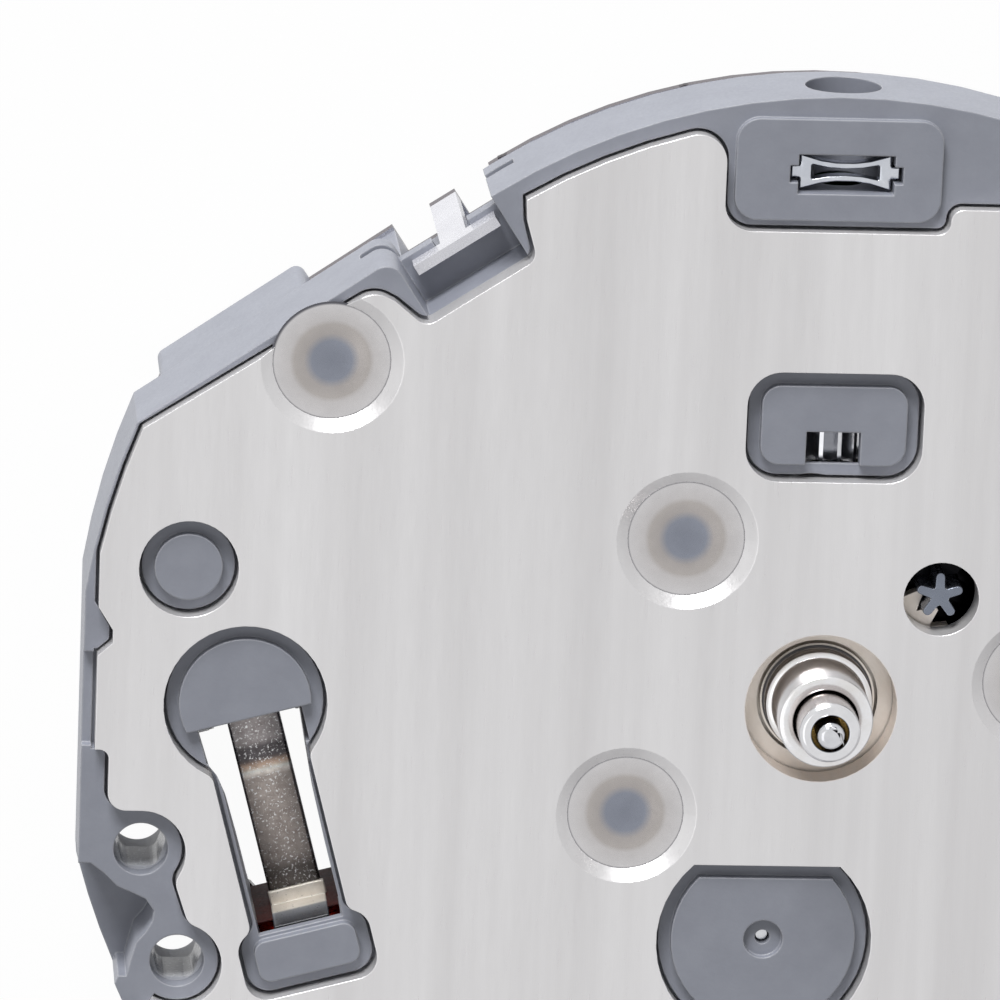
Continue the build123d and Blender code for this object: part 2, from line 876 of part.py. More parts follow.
# Main plate
with BuildPart() as main_plate:
    raise_shape(lambda: draw_plate_edge(0), -plate_thickness, 0)
    raise_shape(lambda: draw_pads(0), -plate_thickness, 0, Mode.SUBTRACT)
    bore(hand_axis, centre_hole_radius, -plate_thickness, overrun)
    bore(minute_place, star_hole_radius, -plate_thickness, overrun)
    for place in pillar_places + [edge_pillar_place]:
        cone(place, coin_radius, coin_mouth_radius, -coin_depth, 0, Mode.SUBTRACT)
        bore(place, pillar_head_radius, -plate_thickness, 0)
main_plate.part.label = "main_plate"
export_step(main_plate.part, "parts/main_plate.step")



def draw_flange():
    """Draw the frame's outline with one corner of each hook's room rounded."""
    with BuildSketch(Plane.XY) as flange:
        draw_outline(0)
        for place, turn in zip(hook_places, hook_turns):
            draw_hook_room(place, turn, hook_room_inner, hook_room_half_width)
            room_side = spot(hook_room_half_width, turn + 180, place)
            round_corner(flange, spot(hook_inset, turn + 90, room_side), hook_mouth_corner)
    add(flange.sketch)


# Base frame
with BuildPart() as base_frame:
    raise_shape(draw_flange, flange_low, -rim_drop)
    raise_shape(lambda: draw_outline(lower_inset), cover_top, flange_low)
    raise_shape(draw_foot_swell, flange_low, -rim_drop)
    block_place = spot(corner_block_start + corner_block_length / 2, chamfer_bearing, chamfer_end)
    block_depth = lower_inset + wall_thickness - corner_block_inset
    block_inset = corner_block_inset + block_depth / 2
    raise_shape(
        lambda: draw_block(
            spot(-block_inset, chamfer_bearing + 90, block_place),
            corner_block_length,
            block_depth,
            chamfer_bearing,
            corner_block_corner,
        ),
        cover_top,
        flange_low,
    )
    for place, turn in zip(hook_places, hook_turns):
        raise_shape(
            lambda: draw_hook_room(
                place, turn, hook_room_inner, hook_room_half_width, mode=Mode.ADD
            ),
            hook_sill_low,
            hook_floor,
        )
        raise_shape(
            lambda: draw_hook_room(
                place, turn, hook_under_inner, hook_room_half_width, mode=Mode.ADD
            ),
            cover_top,
            hook_sill_low,
            Mode.SUBTRACT,
        )
        sill_reach = hook_inset - hook_sill_inset + overrun / 2
        raise_shape(
            lambda: draw_block(
                spot(sill_reach, turn + 90, place), 2 * hook_bite_flare, overrun, turn
            ),
            hook_sill_low,
            hook_floor,
            Mode.SUBTRACT,
        )
    raise_shape(lambda: draw_plate_edge(pad_gap), -plate_thickness, 0, Mode.SUBTRACT)
    raise_shape(lambda: draw_pads(pad_gap), -plate_thickness, -ledge_drop)
    raise_shape(draw_raised_pads, -ledge_drop, -pad_drop)
    stem_pad_width = stem_opening_left + stem_opening_right - 2 * stem_pad_inset
    stem_pad_depth = half_width - stem_opening_y - stem_pad_inset - stem_pad_rim
    stem_pad_place = (
        (stem_opening_right - stem_opening_left) / 2,
        half_width - stem_pad_rim - stem_pad_depth / 2,
    )
    raise_shape(
        lambda: draw_block(
            stem_pad_place, stem_pad_width, stem_pad_depth, corner=stem_pad_corner
        ),
        -rim_drop,
        -pad_drop,
    )

    # Dial side: motion work, dial feet and the hooks' notches
    hour_room = hour_module * (hour_teeth / 2 + tip_share) + pocket_clearance
    minute_room = motion_module * (minute_teeth / 2 + tip_share) + pocket_clearance
    setting_room = motion_module * (setting_teeth / 2 + tip_share) + pocket_clearance
    bore(hand_axis, hour_room, motion_floor, 0)
    bore(minute_place, minute_room, motion_floor, 0)
    bore(setting_place, setting_room, setting_low - press_clearance, 0)
    bore(hand_axis, minute_post_radius + running_clearance, train_ceiling, motion_floor)
    bore(minute_place, motion_pivot_radius + running_clearance, train_ceiling, motion_floor)
    bore(setting_place, motion_pivot_radius + running_clearance, train_ceiling, motion_floor)
    for place in foot_places:
        bore(place, foot_hole_radius, flange_low, 0)
    raise_shape(draw_foot_recess, -rim_drop - foot_recess_depth, 0, Mode.SUBTRACT)
    slot_middle = (tab_high + tab_low) / 2
    for near, far, side in foot_pairs:
        raise_shape(
            lambda: draw_block(
                (side * half_length, -side * slot_middle), 2 * step_depth, tab_high - tab_low
            ),
            -rim_drop - tab_slot_drop,
            0,
            Mode.SUBTRACT,
        )
    for place, turn in zip(hook_places, hook_turns):
        notch_inner = hook_sheet / 2 + hook_notch_clearance
        notch_half = hook_arm_width / 2 + hook_notch_clearance
        raise_shape(
            lambda: draw_hook_room(place, turn, notch_inner, notch_half, mode=Mode.ADD),
            cover_top,
            hook_floor,
            Mode.SUBTRACT,
        )

    # Back: the deck, then the rooms of the train and the motor
    raise_shape(
        lambda: draw_outline(lower_inset + wall_thickness), cover_top, deck, Mode.SUBTRACT
    )
    raise_shape(draw_foot_walls, cover_top, deck)
    raise_shape(draw_foot_rooms, cover_top, flange_low, Mode.SUBTRACT)
    for place, teeth, module in (
        (hand_axis, centre_teeth, centre_module),
        (fifth_place, fifth_teeth, rotor_module),
        (third_place, third_teeth, third_module),
    ):
        room_radius = module * (teeth / 2 + tip_share) + pocket_clearance
        bore(place, room_radius, deck, train_ceiling)
    raise_shape(lambda: draw_stator(pocket_clearance / 2), deck, stator_top, Mode.SUBTRACT)
    bore(rotor_place, rotor_room_radius, deck, rotor_room_ceiling)
    bore(rotor_place, pivot_radius + running_clearance, rotor_room_ceiling, 0)
    bore(rotor_place, sink_radius, -pad_drop - sink_depth, 0)
    for place in (fifth_place, third_place):
        bore(place, pivot_radius + running_clearance, train_ceiling, train_ceiling + pivot_length)
    raise_shape(lambda: draw_core(pocket_clearance), deck, core_top, Mode.SUBTRACT)
    winding_middle = spot(winding_start + winding_length / 2, leg_bearing, leg_start)
    winding_room = winding_length + 2 * collar_length + 2 * pocket_clearance
    raise_shape(
        lambda: draw_block(
            winding_middle, winding_room, 2 * (winding_radius + pocket_clearance), leg_bearing
        ),
        deck,
        coil_level + winding_radius + pocket_clearance / 2,
        Mode.SUBTRACT,
    )
    raise_shape(
        lambda: draw_block(
            spot(window_start + window_length / 2, leg_bearing, leg_start),
            window_length,
            window_width,
            leg_bearing,
        ),
        deck,
        0,
        Mode.SUBTRACT,
    )
    raise_shape(
        lambda: draw_block(
            spot(window_start + window_head_length / 2, leg_bearing, leg_start),
            window_head_length,
            window_head_width,
            leg_bearing,
        ),
        deck,
        0,
        Mode.SUBTRACT,
    )

    # Battery and circuit rooms
    bore(cell_place, cell_radius + pocket_clearance, cover_top, cell_room_ceiling)
    raise_shape(
        lambda: draw_bar(cell_place, contact_riser_place, contact_width + 2 * seat_clearance),
        deck,
        cell_room_ceiling,
        Mode.SUBTRACT,
    )
    chip_room = chip_width + 2 * pocket_clearance
    raise_shape(
        lambda: draw_block(chip_place, chip_room, chip_room),
        deck,
        deck + chip_thickness + pocket_clearance,
        Mode.SUBTRACT,
    )
    crystal_room = crystal_radius + pocket_clearance
    raise_shape(
        lambda: draw_block(
            spot(-lead_length / 2, crystal_bearing, crystal_place),
            crystal_length + lead_length + 2 * pocket_clearance,
            2 * crystal_room,
            crystal_bearing,
        ),
        deck,
        -crystal_drop + crystal_radius + seat_clearance,
        Mode.SUBTRACT,
    )
    post(clamp_foot, clamp_boss_radius, cover_top, deck)

    # Stem, clutch and levers
    room_width = lever_room_high[0] - lever_room_low[0]
    room_depth = lever_room_high[1] - lever_room_low[1]
    room_place = (
        (lever_room_high[0] + lever_room_low[0]) / 2,
        (lever_room_high[1] + lever_room_low[1]) / 2,
    )
    raise_shape(
        lambda: draw_block(room_place, room_width, room_depth, corner=lever_eye_radius),
        deck,
        lever_ceiling,
        Mode.SUBTRACT,
    )
    raise_shape(
        lambda: draw_bar(reset_pivot, reset_tip, reset_width + 4 * pocket_clearance),
        deck,
        reset_top + lever_gap,
        Mode.SUBTRACT,
    )
    clutch_back = clutch_spacing + clutch_groove_width + clutch_flange_width + pocket_clearance
    clutch_room_front = clutch_front - clutch_travel - pocket_clearance
    raise_shape(
        lambda: draw_block(
            (0, (clutch_back + clutch_room_front) / 2),
            2 * clutch_room_half_width,
            clutch_back - clutch_room_front,
        ),
        lever_ceiling,
        -pad_drop - clutch_roof,
        Mode.SUBTRACT,
    )
    raise_shape(
        lambda: draw_block((0, clutch_window_y), clutch_window[0], clutch_window[1]),
        lever_ceiling,
        0,
        Mode.SUBTRACT,
    )
    along_stem(
        half_width + overrun,
        half_width - stem_hole_depth,
        lambda: Circle(stem_hole_radius),
        Mode.SUBTRACT,
    )
    along_stem(
        half_width, clutch_room_front, lambda: Circle(stem_channel_radius), Mode.SUBTRACT
    )
    raise_shape(
        lambda: draw_block(
            (0, clip_y), clip_length + 2 * slot_clearance, clip_end_height + 2 * slot_clearance
        ),
        -stem_drop,
        0,
        Mode.SUBTRACT,
    )
    raise_shape(
        lambda: draw_block(
            (0, clip_y), clip_tab_length + 2 * slot_clearance, clip_tab_height + 2 * slot_clearance
        ),
        clip_top - clip_thickness,
        0,
        Mode.SUBTRACT,
    )
    slot_place = (0, (setting_nose[1] + stem_opening_y) / 2)
    raise_shape(
        lambda: draw_block(slot_place, setting_slot[0], setting_slot[1]),
        lever_ceiling,
        -stem_drop,
        Mode.SUBTRACT,
    )
    for place in (setting_pivot, yoke_pivot):
        post(place, lever_post_radius, keyless_low, lever_ceiling)
    post(reset_pivot, lever_post_radius, reset_low, lever_ceiling)

    # Pillars' holes
    for place in pillar_places:
        bore(place, pillar_radius + press_clearance, deck, 0)
    bore(edge_pillar_place, pillar_radius + press_clearance, -edge_pillar_drop, 0)
base_frame.part.label = "base_frame"
export_step(base_frame.part, "parts/base_frame.step")

# Bridge pillars, riveted in the main plate
with BuildPart() as bridge_pillars:
    pillar_lows = [deck, deck, deck, -edge_pillar_drop]
    for place, low in zip(pillar_places + [edge_pillar_place], pillar_lows):
        post(place, pillar_radius, low, -plate_thickness)
        post(place, pillar_head_radius, -plate_thickness, -coin_depth)
        dish_low = -coin_depth - pillar_dish_depth
        cone(place, pillar_dish_floor, pillar_dish_radius, dish_low, -coin_depth, Mode.SUBTRACT)
bridge_pillars.part.label = "bridge_pillars"
export_step(bridge_pillars.part, "parts/bridge_pillars.step")

# Hour wheel
with BuildPart() as hour_wheel:
    raise_shape(lambda: draw_rim(hand_axis, hour_teeth, hour_module, hour_turn), hour_low, hour_top)
    cone(hand_axis, hour_cone_radius, hour_flange_radius, hour_top, -hour_flange_drop)
    cone(hand_axis, hour_flange_radius, hour_post_radius, -hour_flange_drop, 0)
    post(hand_axis, hour_post_radius, 0, hour_post_top)
    chamfer(hour_wheel.edges().filter_by(GeomType.CIRCLE).sort_by(Axis.Z)[-1], post_chamfer)
    bore(hand_axis, minute_post_radius + running_clearance, hour_low, hour_post_top)
hour_wheel.part.label = "hour_wheel"
export_step(hour_wheel.part, "parts/hour_wheel.step")

# Cannon pinion
with BuildPart() as cannon_pinion:
    pinion_low = motion_floor + press_clearance
    pinion_top = minute_top + pinion_overlap
    raise_shape(
        lambda: draw_leaves(hand_axis, cannon_teeth, motion_module, cannon_turn),
        pinion_low,
        pinion_top,
    )
    post(hand_axis, minute_post_radius, pinion_low, minute_post_top)
    chamfer(cannon_pinion.edges().filter_by(GeomType.CIRCLE).sort_by(Axis.Z)[-1], post_chamfer)
    bore(hand_axis, post_core_radius, pinion_low, minute_post_top)
cannon_pinion.part.label = "cannon_pinion"
export_step(cannon_pinion.part, "parts/cannon_pinion.step")

# Centre wheel
with BuildPart() as centre_wheel:
    raise_shape(
        lambda: draw_rim(hand_axis, centre_teeth, centre_module, centre_turn), centre_low, centre_top
    )
    post(hand_axis, minute_post_radius, centre_low, pinion_low)
    post(hand_axis, post_core_radius, centre_low, post_core_top)
    bore(hand_axis, seconds_post_radius + running_clearance, centre_low, post_core_top)
centre_wheel.part.label = "centre_wheel"
export_step(centre_wheel.part, "parts/centre_wheel.step")

# Seconds arbor
with BuildPart() as seconds_arbor:
    hub_top = seconds_top + pinion_overlap
    hub_low = third_low - pinion_overlap
    post(hand_axis, seconds_post_radius, hub_top, seconds_post_top)
    chamfer(seconds_arbor.edges().filter_by(GeomType.CIRCLE).sort_by(Axis.Z)[-1], post_chamfer)
    post(hand_axis, arbor_radius, deck + end_shake, hub_top)
    post(hand_axis, pivot_radius, deck - pivot_length, deck + end_shake)
seconds_arbor.part.label = "seconds_arbor"
export_step(seconds_arbor.part, "parts/seconds_arbor.step")

# Seconds wheel and pinion
with BuildPart() as seconds_wheel:
    raise_shape(
        lambda: draw_rim(hand_axis, seconds_teeth, seconds_module, seconds_turn),
        seconds_low,
        seconds_top,
    )
    raise_shape(
        lambda: draw_leaves(hand_axis, seconds_leaves, third_module, seconds_turn),
        hub_low,
        seconds_low,
    )
    bore(hand_axis, arbor_radius, hub_low, seconds_top)
seconds_wheel.part.label = "seconds_wheel"
export_step(seconds_wheel.part, "parts/seconds_wheel.step")

# Third wheel and pinion
with BuildPart() as third_wheel:
    raise_shape(
        lambda: draw_rim(third_place, third_teeth, third_module, third_turn), third_low, third_top
    )
    raise_shape(
        lambda: draw_leaves(third_place, third_leaves, centre_module, third_pinion_turn),
        centre_low - pinion_overlap,
        centre_top + pinion_overlap,
    )
    post(third_place, pivot_radius, deck - pivot_length, train_ceiling + pivot_length - end_shake)
third_wheel.part.label = "third_wheel"
export_step(third_wheel.part, "parts/third_wheel.step")

# Fifth wheel and pinion
with BuildPart() as fifth_wheel:
    raise_shape(
        lambda: draw_rim(fifth_place, fifth_teeth, rotor_module, fifth_turn), fifth_low, fifth_top
    )
    raise_shape(
        lambda: draw_leaves(fifth_place, fifth_leaves, seconds_module, fifth_pinion_turn),
        seconds_low - pinion_overlap,
        seconds_top + pinion_overlap,
    )
    post(fifth_place, pivot_radius, deck - pivot_length, train_ceiling + pivot_length - end_shake)
fifth_wheel.part.label = "fifth_wheel"
export_step(fifth_wheel.part, "parts/fifth_wheel.step")

# Rotor pinion
with BuildPart() as rotor_pinion:
    magnet_top = (stator_top + stator_low + magnet_thickness) / 2
    magnet_low = magnet_top - magnet_thickness
    raise_shape(
        lambda: draw_leaves(rotor_place, rotor_leaves, rotor_module, rotor_turn),
        fifth_low - pinion_overlap,
        fifth_top + pinion_overlap,
    )
    post(rotor_place, arbor_radius, deck + end_shake, rotor_room_ceiling - end_shake)
    post(rotor_place, pivot_radius, deck - pivot_length, rotor_tip)
rotor_pinion.part.label = "rotor_pinion"
export_step(rotor_pinion.part, "parts/rotor_pinion.step")

# Rotor magnet
with BuildPart() as rotor_magnet:
    post(rotor_place, magnet_radius, magnet_low, magnet_top)
    bore(rotor_place, arbor_radius, magnet_low, magnet_top)
rotor_magnet.part.label = "rotor_magnet"
export_step(rotor_magnet.part, "parts/rotor_magnet.step")

# Minute wheel with its five-leaf pinion
with BuildPart() as minute_wheel:
    raise_shape(
        lambda: draw_rim(minute_place, minute_teeth, motion_module, minute_turn),
        minute_low,
        minute_top,
    )
    raise_shape(
        lambda: draw_leaves(minute_place, minute_leaves, hour_module, star_turn),
        minute_top,
        -star_drop,
    )
    post(minute_place, motion_pivot_radius, train_ceiling + end_shake, minute_low)
minute_wheel.part.label = "minute_wheel"
export_step(minute_wheel.part, "parts/minute_wheel.step")

# Setting wheel
with BuildPart() as setting_wheel:
    raise_shape(
        lambda: draw_leaves(setting_place, setting_teeth, motion_module, setting_turn),
        setting_low,
        minute_top,
    )
    post(setting_place, motion_pivot_radius, train_ceiling + end_shake, setting_low)
setting_wheel.part.label = "setting_wheel"
export_step(setting_wheel.part, "parts/setting_wheel.step")

# Stator
with BuildPart() as stator:
    raise_shape(lambda: draw_stator(0), stator_low, stator_top)
    bore(rotor_place, stator_hole_radius, stator_low, stator_top)
    for side in (-1, 1):
        notch_place = spot(side * stator_hole_radius, rotor_bearing + 90 / 2, rotor_place)
        bore(notch_place, stator_notch_radius, stator_low, stator_top)
stator.part.label = "stator"
export_step(stator.part, "parts/stator.step")

# Coil core
with BuildPart() as coil_core:
    raise_shape(lambda: draw_core(0), core_low, core_top)
coil_core.part.label = "coil_core"
export_step(coil_core.part, "parts/coil_core.step")


def leg_plane(reach):
    """Return the plane across the coil's leg at a reach from its start."""
    place = spot(reach, leg_bearing, leg_start)
    ahead = spot(1, leg_bearing)
    return Plane(
        origin=(place[0], place[1], coil_level),
        x_dir=(-ahead[1], ahead[0], 0),
        z_dir=(ahead[0], ahead[1], 0),
    )


def draw_leg_section():
    """Take the leg's cross-section from the sketch."""
    width = leg_width + 2 * press_clearance
    Rectangle(width, core_thickness + 2 * press_clearance, mode=Mode.SUBTRACT)


# Coil winding
with BuildPart() as coil_winding:
    with BuildSketch(leg_plane(winding_start)) as turns:
        Circle(winding_radius)
        draw_leg_section()
    extrude(turns.sketch, amount=winding_length)
coil_winding.part.label = "coil_winding"
export_step(coil_winding.part, "parts/coil_winding.step")

# Coil collar, between the bare leg and the winding
with BuildPart() as coil_collar:
    with BuildSketch(leg_plane(winding_start - collar_length)) as wrap:
        RectangleRounded(collar_width + 2 * clip_wall, collar_thickness, clip_wall)
        draw_leg_section()
    extrude(wrap.sketch, amount=collar_length)
coil_collar.part.label = "coil_collar"
export_step(coil_collar.part, "parts/coil_collar.step")

# Coil terminal board, on the leg's lug
with BuildPart() as coil_terminals:
    raise_shape(
        lambda: draw_block(lug_place, terminal_length, lug_width, leg_bearing),
        core_low - terminal_thickness,
        core_low,
    )
coil_terminals.part.label = "coil_terminals"
export_step(coil_terminals.part, "parts/coil_terminals.step")

# Train bridge
with BuildPart() as train_bridge:
    raise_shape(draw_bridge, bridge_low, deck)
    for place in (hand_axis, rotor_place, fifth_place, third_place):
        bore(place, pivot_radius + running_clearance, bridge_low, deck)
train_bridge.part.label = "train_bridge"
export_step(train_bridge.part, "parts/train_bridge.step")

# Clutch wheel, on the stem's axis
with BuildPart() as clutch_wheel:
    clutch_module = 2 * clutch_radius / (clutch_teeth + 2 * tip_share)
    groove_back = clutch_spacing + clutch_groove_width
    along_stem(
        clutch_spacing,
        clutch_front,
        lambda: draw_rim(hand_axis, clutch_teeth, clutch_module, seconds_turn),
    )
    along_stem(groove_back, clutch_spacing, lambda: Circle(clutch_groove_radius))
    along_stem(groove_back + clutch_flange_width, groove_back, lambda: Circle(clutch_radius))
    along_stem(
        groove_back + clutch_flange_width,
        clutch_front,
        lambda: Rectangle(clutch_square, clutch_square),
        Mode.SUBTRACT,
    )
clutch_wheel.part.label = "clutch_wheel"
export_step(clutch_wheel.part, "parts/clutch_wheel.step")

# Stem clip: two bowed spring arms in the cross-shaped slot
with BuildPart() as stem_clip:
    clip_low = clip_top - clip_thickness
    waist_cut = (clip_end_height - clip_waist_height) / 2
    bow_radius = ((clip_length / 2) ** 2 + waist_cut ** 2) / (2 * waist_cut)
    with BuildSketch(Plane.XY.offset(clip_low)) as bows:
        with Locations((0, clip_y)):
            Rectangle(clip_length, clip_end_height)
            Rectangle(
                clip_length - 4 * clip_wall, clip_end_height - 2 * clip_wall, mode=Mode.SUBTRACT
            )
        for side in (-1, 1):
            bow_centre = clip_y + side * (clip_waist_height / 2 + bow_radius)
            draw_disc((0, bow_centre), bow_radius + clip_wall)
        with Locations((0, clip_y)):
            Rectangle(clip_length, clip_end_height, mode=Mode.INTERSECT)
        for side in (-1, 1):
            bow_centre = clip_y + side * (clip_waist_height / 2 + bow_radius)
            draw_disc((0, bow_centre), bow_radius, Mode.SUBTRACT)
        tab_width = (clip_tab_length - clip_length) / 2 + clip_wall
        for side in (-1, 1):
            tab_place = (side * (clip_tab_length - tab_width) / 2, clip_y)
            draw_block(tab_place, tab_width, clip_tab_height)
    extrude(bows.sketch, amount=clip_thickness)
stem_clip.part.label = "stem_clip"
export_step(stem_clip.part, "parts/stem_clip.step")

# Setting lever
with BuildPart() as setting_lever:
    raise_shape(lambda: draw_bar(setting_pivot, setting_nose, setting_width), lever_low, lever_top)
    raise_shape(lambda: draw_bar(setting_pivot, setting_tail, setting_width), lever_low, lever_top)
    post(setting_pivot, lever_eye_radius, lever_low, lever_top)
    post(setting_nose, setting_pin_radius, lever_top, setting_pin_top)
    bore(setting_pivot, lever_post_radius + running_clearance, lever_low, lever_top)
setting_lever.part.label = "setting_lever"
export_step(setting_lever.part, "parts/setting_lever.step")

# Yoke
with BuildPart() as yoke:
    raise_shape(lambda: draw_bar(yoke_pivot, yoke_nose, yoke_width), lever_low, lever_top)
    post(yoke_pivot, lever_eye_radius, lever_low, lever_top)
    post(yoke_nose, yoke_pin_radius, lever_top, yoke_pin_top)
    bore(yoke_pivot, lever_post_radius + running_clearance, lever_low, lever_top)
yoke.part.label = "yoke"
export_step(yoke.part, "parts/yoke.step")

# Keyless plate, over the levers
with BuildPart() as keyless_plate:
    raise_shape(
        lambda: draw_bar(setting_pivot, yoke_pivot, keyless_width), keyless_low, keyless_top
    )
    middle = ((setting_pivot[0] + yoke_pivot[0]) / 2, (setting_pivot[1] + yoke_pivot[1]) / 2)
    raise_shape(
        lambda: draw_bar(middle, keyless_tip, keyless_tip_width), keyless_low, keyless_top
    )
    for place in (setting_pivot, yoke_pivot):
        bore(place, lever_post_radius + press_clearance, keyless_low, keyless_top)
keyless_plate.part.label = "keyless_plate"
export_step(keyless_plate.part, "parts/keyless_plate.step")

# Reset lever, which stops the seconds wheel
with BuildPart() as reset_lever:
    raise_shape(lambda: draw_bar(reset_pivot, reset_tip, reset_width), reset_low, reset_top)
    post(reset_pivot, lever_eye_radius, reset_low, reset_top)
    bore(reset_pivot, lever_post_radius + running_clearance, reset_low, reset_top)
reset_lever.part.label = "reset_lever"
export_step(reset_lever.part, "parts/reset_lever.step")

# Battery cell
with BuildPart() as battery_cell:
    can_top = cell_top - cap_height
    post(cell_place, cell_radius, cell_low, can_top)
    post(cell_place, cap_radius, can_top, cell_top)
battery_cell.part.label = "battery_cell"
export_step(battery_cell.part, "parts/battery_cell.step")

# Battery contact under the cell's cap
with BuildPart() as battery_contact:
    raise_shape(
        lambda: draw_bar(cell_place, contact_riser_place, contact_width), cell_top, cell_room_ceiling
    )
    riser_turn = bearing_to(cell_place, contact_riser_place)
    raise_shape(
        lambda: draw_block(contact_riser_place, contact_thickness, contact_width, riser_turn),
        deck,
        cell_top,
    )
battery_contact.part.label = "battery_contact"
export_step(battery_contact.part, "parts/battery_contact.step")

# Circuit board
with BuildPart() as circuit_board:
    with BuildSketch(Plane.XY.offset(board_low)) as board:
        draw_outline(board_inset)
        draw_disc(hand_axis, board_inner_radius, Mode.SUBTRACT)
        draw_disc(cell_place, cell_radius + 2 * pocket_clearance, Mode.SUBTRACT)
        draw_block(
            (0, board_edge_y - overall_radius),
            2 * overall_radius,
            2 * overall_radius,
            mode=Mode.SUBTRACT,
        )
        draw_foot_rooms(foot_wall + pocket_clearance, Mode.SUBTRACT)
    extrude(board.sketch, amount=board_thickness)
circuit_board.part.label = "circuit_board"
export_step(circuit_board.part, "parts/circuit_board.step")

# Circuit chip
with BuildPart() as circuit_chip:
    raise_shape(lambda: draw_block(chip_place, chip_width, chip_width), deck, deck + chip_thickness)
circuit_chip.part.label = "circuit_chip"
export_step(circuit_chip.part, "parts/circuit_chip.step")

# Quartz crystal in its can
with BuildPart() as quartz_crystal:
    ahead = spot(1, crystal_bearing)
    can_start = spot(-crystal_length / 2, crystal_bearing, crystal_place)
    can_plane = Plane(
        origin=(can_start[0], can_start[1], -crystal_drop),
        x_dir=(-ahead[1], ahead[0], 0),
        z_dir=(ahead[0], ahead[1], 0),
    )
    with BuildSketch(can_plane) as can:
        Circle(crystal_radius)
    extrude(can.sketch, amount=crystal_length)
    lead_place = spot(-lead_length / 2, crystal_bearing, can_start)
    can_side = bearing_to(hand_axis, (-ahead[1], ahead[0]))
    for side in (-1, 1):
        lead_spot = spot(side * lead_spread / 2, can_side, lead_place)
        raise_shape(
            lambda: draw_block(lead_spot, lead_length, lead_width, crystal_bearing),
            deck,
            -crystal_drop,
        )
quartz_crystal.part.label = "quartz_crystal"
export_step(quartz_crystal.part, "parts/quartz_crystal.step")

# Insulator between the circuit board and the cover
with BuildPart() as insulator_sheet:
    with BuildSketch(Plane.XY.offset(board_low - insulator_thickness)) as sheet:
        draw_outline(board_inset + wall_thickness)
        draw_disc(hand_axis, board_inner_radius + wall_thickness, Mode.SUBTRACT)
        draw_disc(cell_place, cell_radius + wall_thickness, Mode.SUBTRACT)
        draw_block(
            (0, wall_thickness + board_edge_y - overall_radius),
            2 * overall_radius,
            2 * overall_radius,
            mode=Mode.SUBTRACT,
        )
    extrude(sheet.sketch, amount=insulator_thickness)
insulator_sheet.part.label = "insulator_sheet"
export_step(insulator_sheet.part, "parts/insulator_sheet.step")

# Back cover with its side hooks
with BuildPart() as back_cover:
    with BuildSketch(Plane.XY.offset(cover_low)) as sheet:
        draw_outline(lower_inset, cover_crown_inset)
        for place, turn in zip(hook_places, hook_turns):
            draw_hook_room(place, turn, hook_under_inner, hook_room_half_width)
            tongue = hook_room_inner + hook_sheet / 2
            tongue_middle = spot(hook_sheet / 2 - tongue / 2, turn + 90, place)
            draw_block(tongue_middle, hook_arm_width, tongue, turn)
        draw_disc(cell_place, cell_radius + pocket_clearance, Mode.SUBTRACT)
        draw_bar(cell_place, clamp_foot, clamp_width + 2 * pocket_clearance, Mode.SUBTRACT)
        draw_disc(clamp_foot, clamp_boss_radius + pocket_clearance, Mode.SUBTRACT)
        draw_bar(
            spot(window_start + window_width / 2, leg_bearing, leg_start),
            spot(window_start + window_length, leg_bearing, leg_start),
            window_width + 2 * window_frame,
            Mode.SUBTRACT,
        )
        draw_foot_rooms(mode=Mode.SUBTRACT)
    extrude(sheet.sketch, amount=cover_thickness)
    for place, turn in zip(hook_places, hook_turns):
        raise_shape(
            lambda: draw_block(place, hook_arm_width, hook_sheet, turn), cover_top, hook_floor
        )
        raise_shape(
            lambda: draw_block(place, hook_bar_width, hook_sheet, turn), hook_floor, hook_top
        )
back_cover.part.label = "back_cover"
export_step(back_cover.part, "parts/back_cover.step")

# Battery clamp
with BuildPart() as battery_clamp:
    clamp_end = (
        cell_place[0] + clamp_reach_share * (cell_place[0] - clamp_foot[0]),
        cell_place[1] + clamp_reach_share * (cell_place[1] - clamp_foot[1]),
    )
    raise_shape(
        lambda: draw_bar(clamp_foot, clamp_end, clamp_width), cover_top - clamp_thickness, cover_top
    )
battery_clamp.part.label = "battery_clamp"
export_step(battery_clamp.part, "parts/battery_clamp.step")
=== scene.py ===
"""Looks of a quartz watch movement, dressed over its construction frame.

Lengths are in millimetres in the fields below, apart from the lamps and the floor, and turned to
metres where a mesh is made. Z points out of the dial side along the hands' axis, X to six o'clock
and Y to three o'clock, where the stem enters.
"""

import enum
import json
import logging
import math
from dataclasses import dataclass
from typing import Sequence

import bmesh
import bpy
from mathutils import Matrix, Vector


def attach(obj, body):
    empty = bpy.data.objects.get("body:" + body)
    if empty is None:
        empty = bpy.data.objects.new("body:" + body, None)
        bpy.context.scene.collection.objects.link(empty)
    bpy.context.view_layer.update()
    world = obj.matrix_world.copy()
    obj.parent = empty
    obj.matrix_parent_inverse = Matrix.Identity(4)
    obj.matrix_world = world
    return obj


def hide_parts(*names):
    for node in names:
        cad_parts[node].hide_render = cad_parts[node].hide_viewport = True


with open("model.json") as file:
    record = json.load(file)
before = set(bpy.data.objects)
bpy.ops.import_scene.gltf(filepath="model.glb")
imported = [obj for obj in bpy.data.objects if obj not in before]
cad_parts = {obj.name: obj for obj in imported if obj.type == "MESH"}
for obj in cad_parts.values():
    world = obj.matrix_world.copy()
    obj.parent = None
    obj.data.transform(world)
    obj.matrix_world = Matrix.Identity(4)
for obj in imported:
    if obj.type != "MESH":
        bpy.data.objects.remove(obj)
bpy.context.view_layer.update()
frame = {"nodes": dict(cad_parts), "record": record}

MM = 0.001
WHITE = (1.0, 1.0, 1.0, 1.0)

# Edges that turn by more degrees than these stay sharp: of any form, and of a turned one
CREASE = 30.0
TURNED_CREASE = 50.0
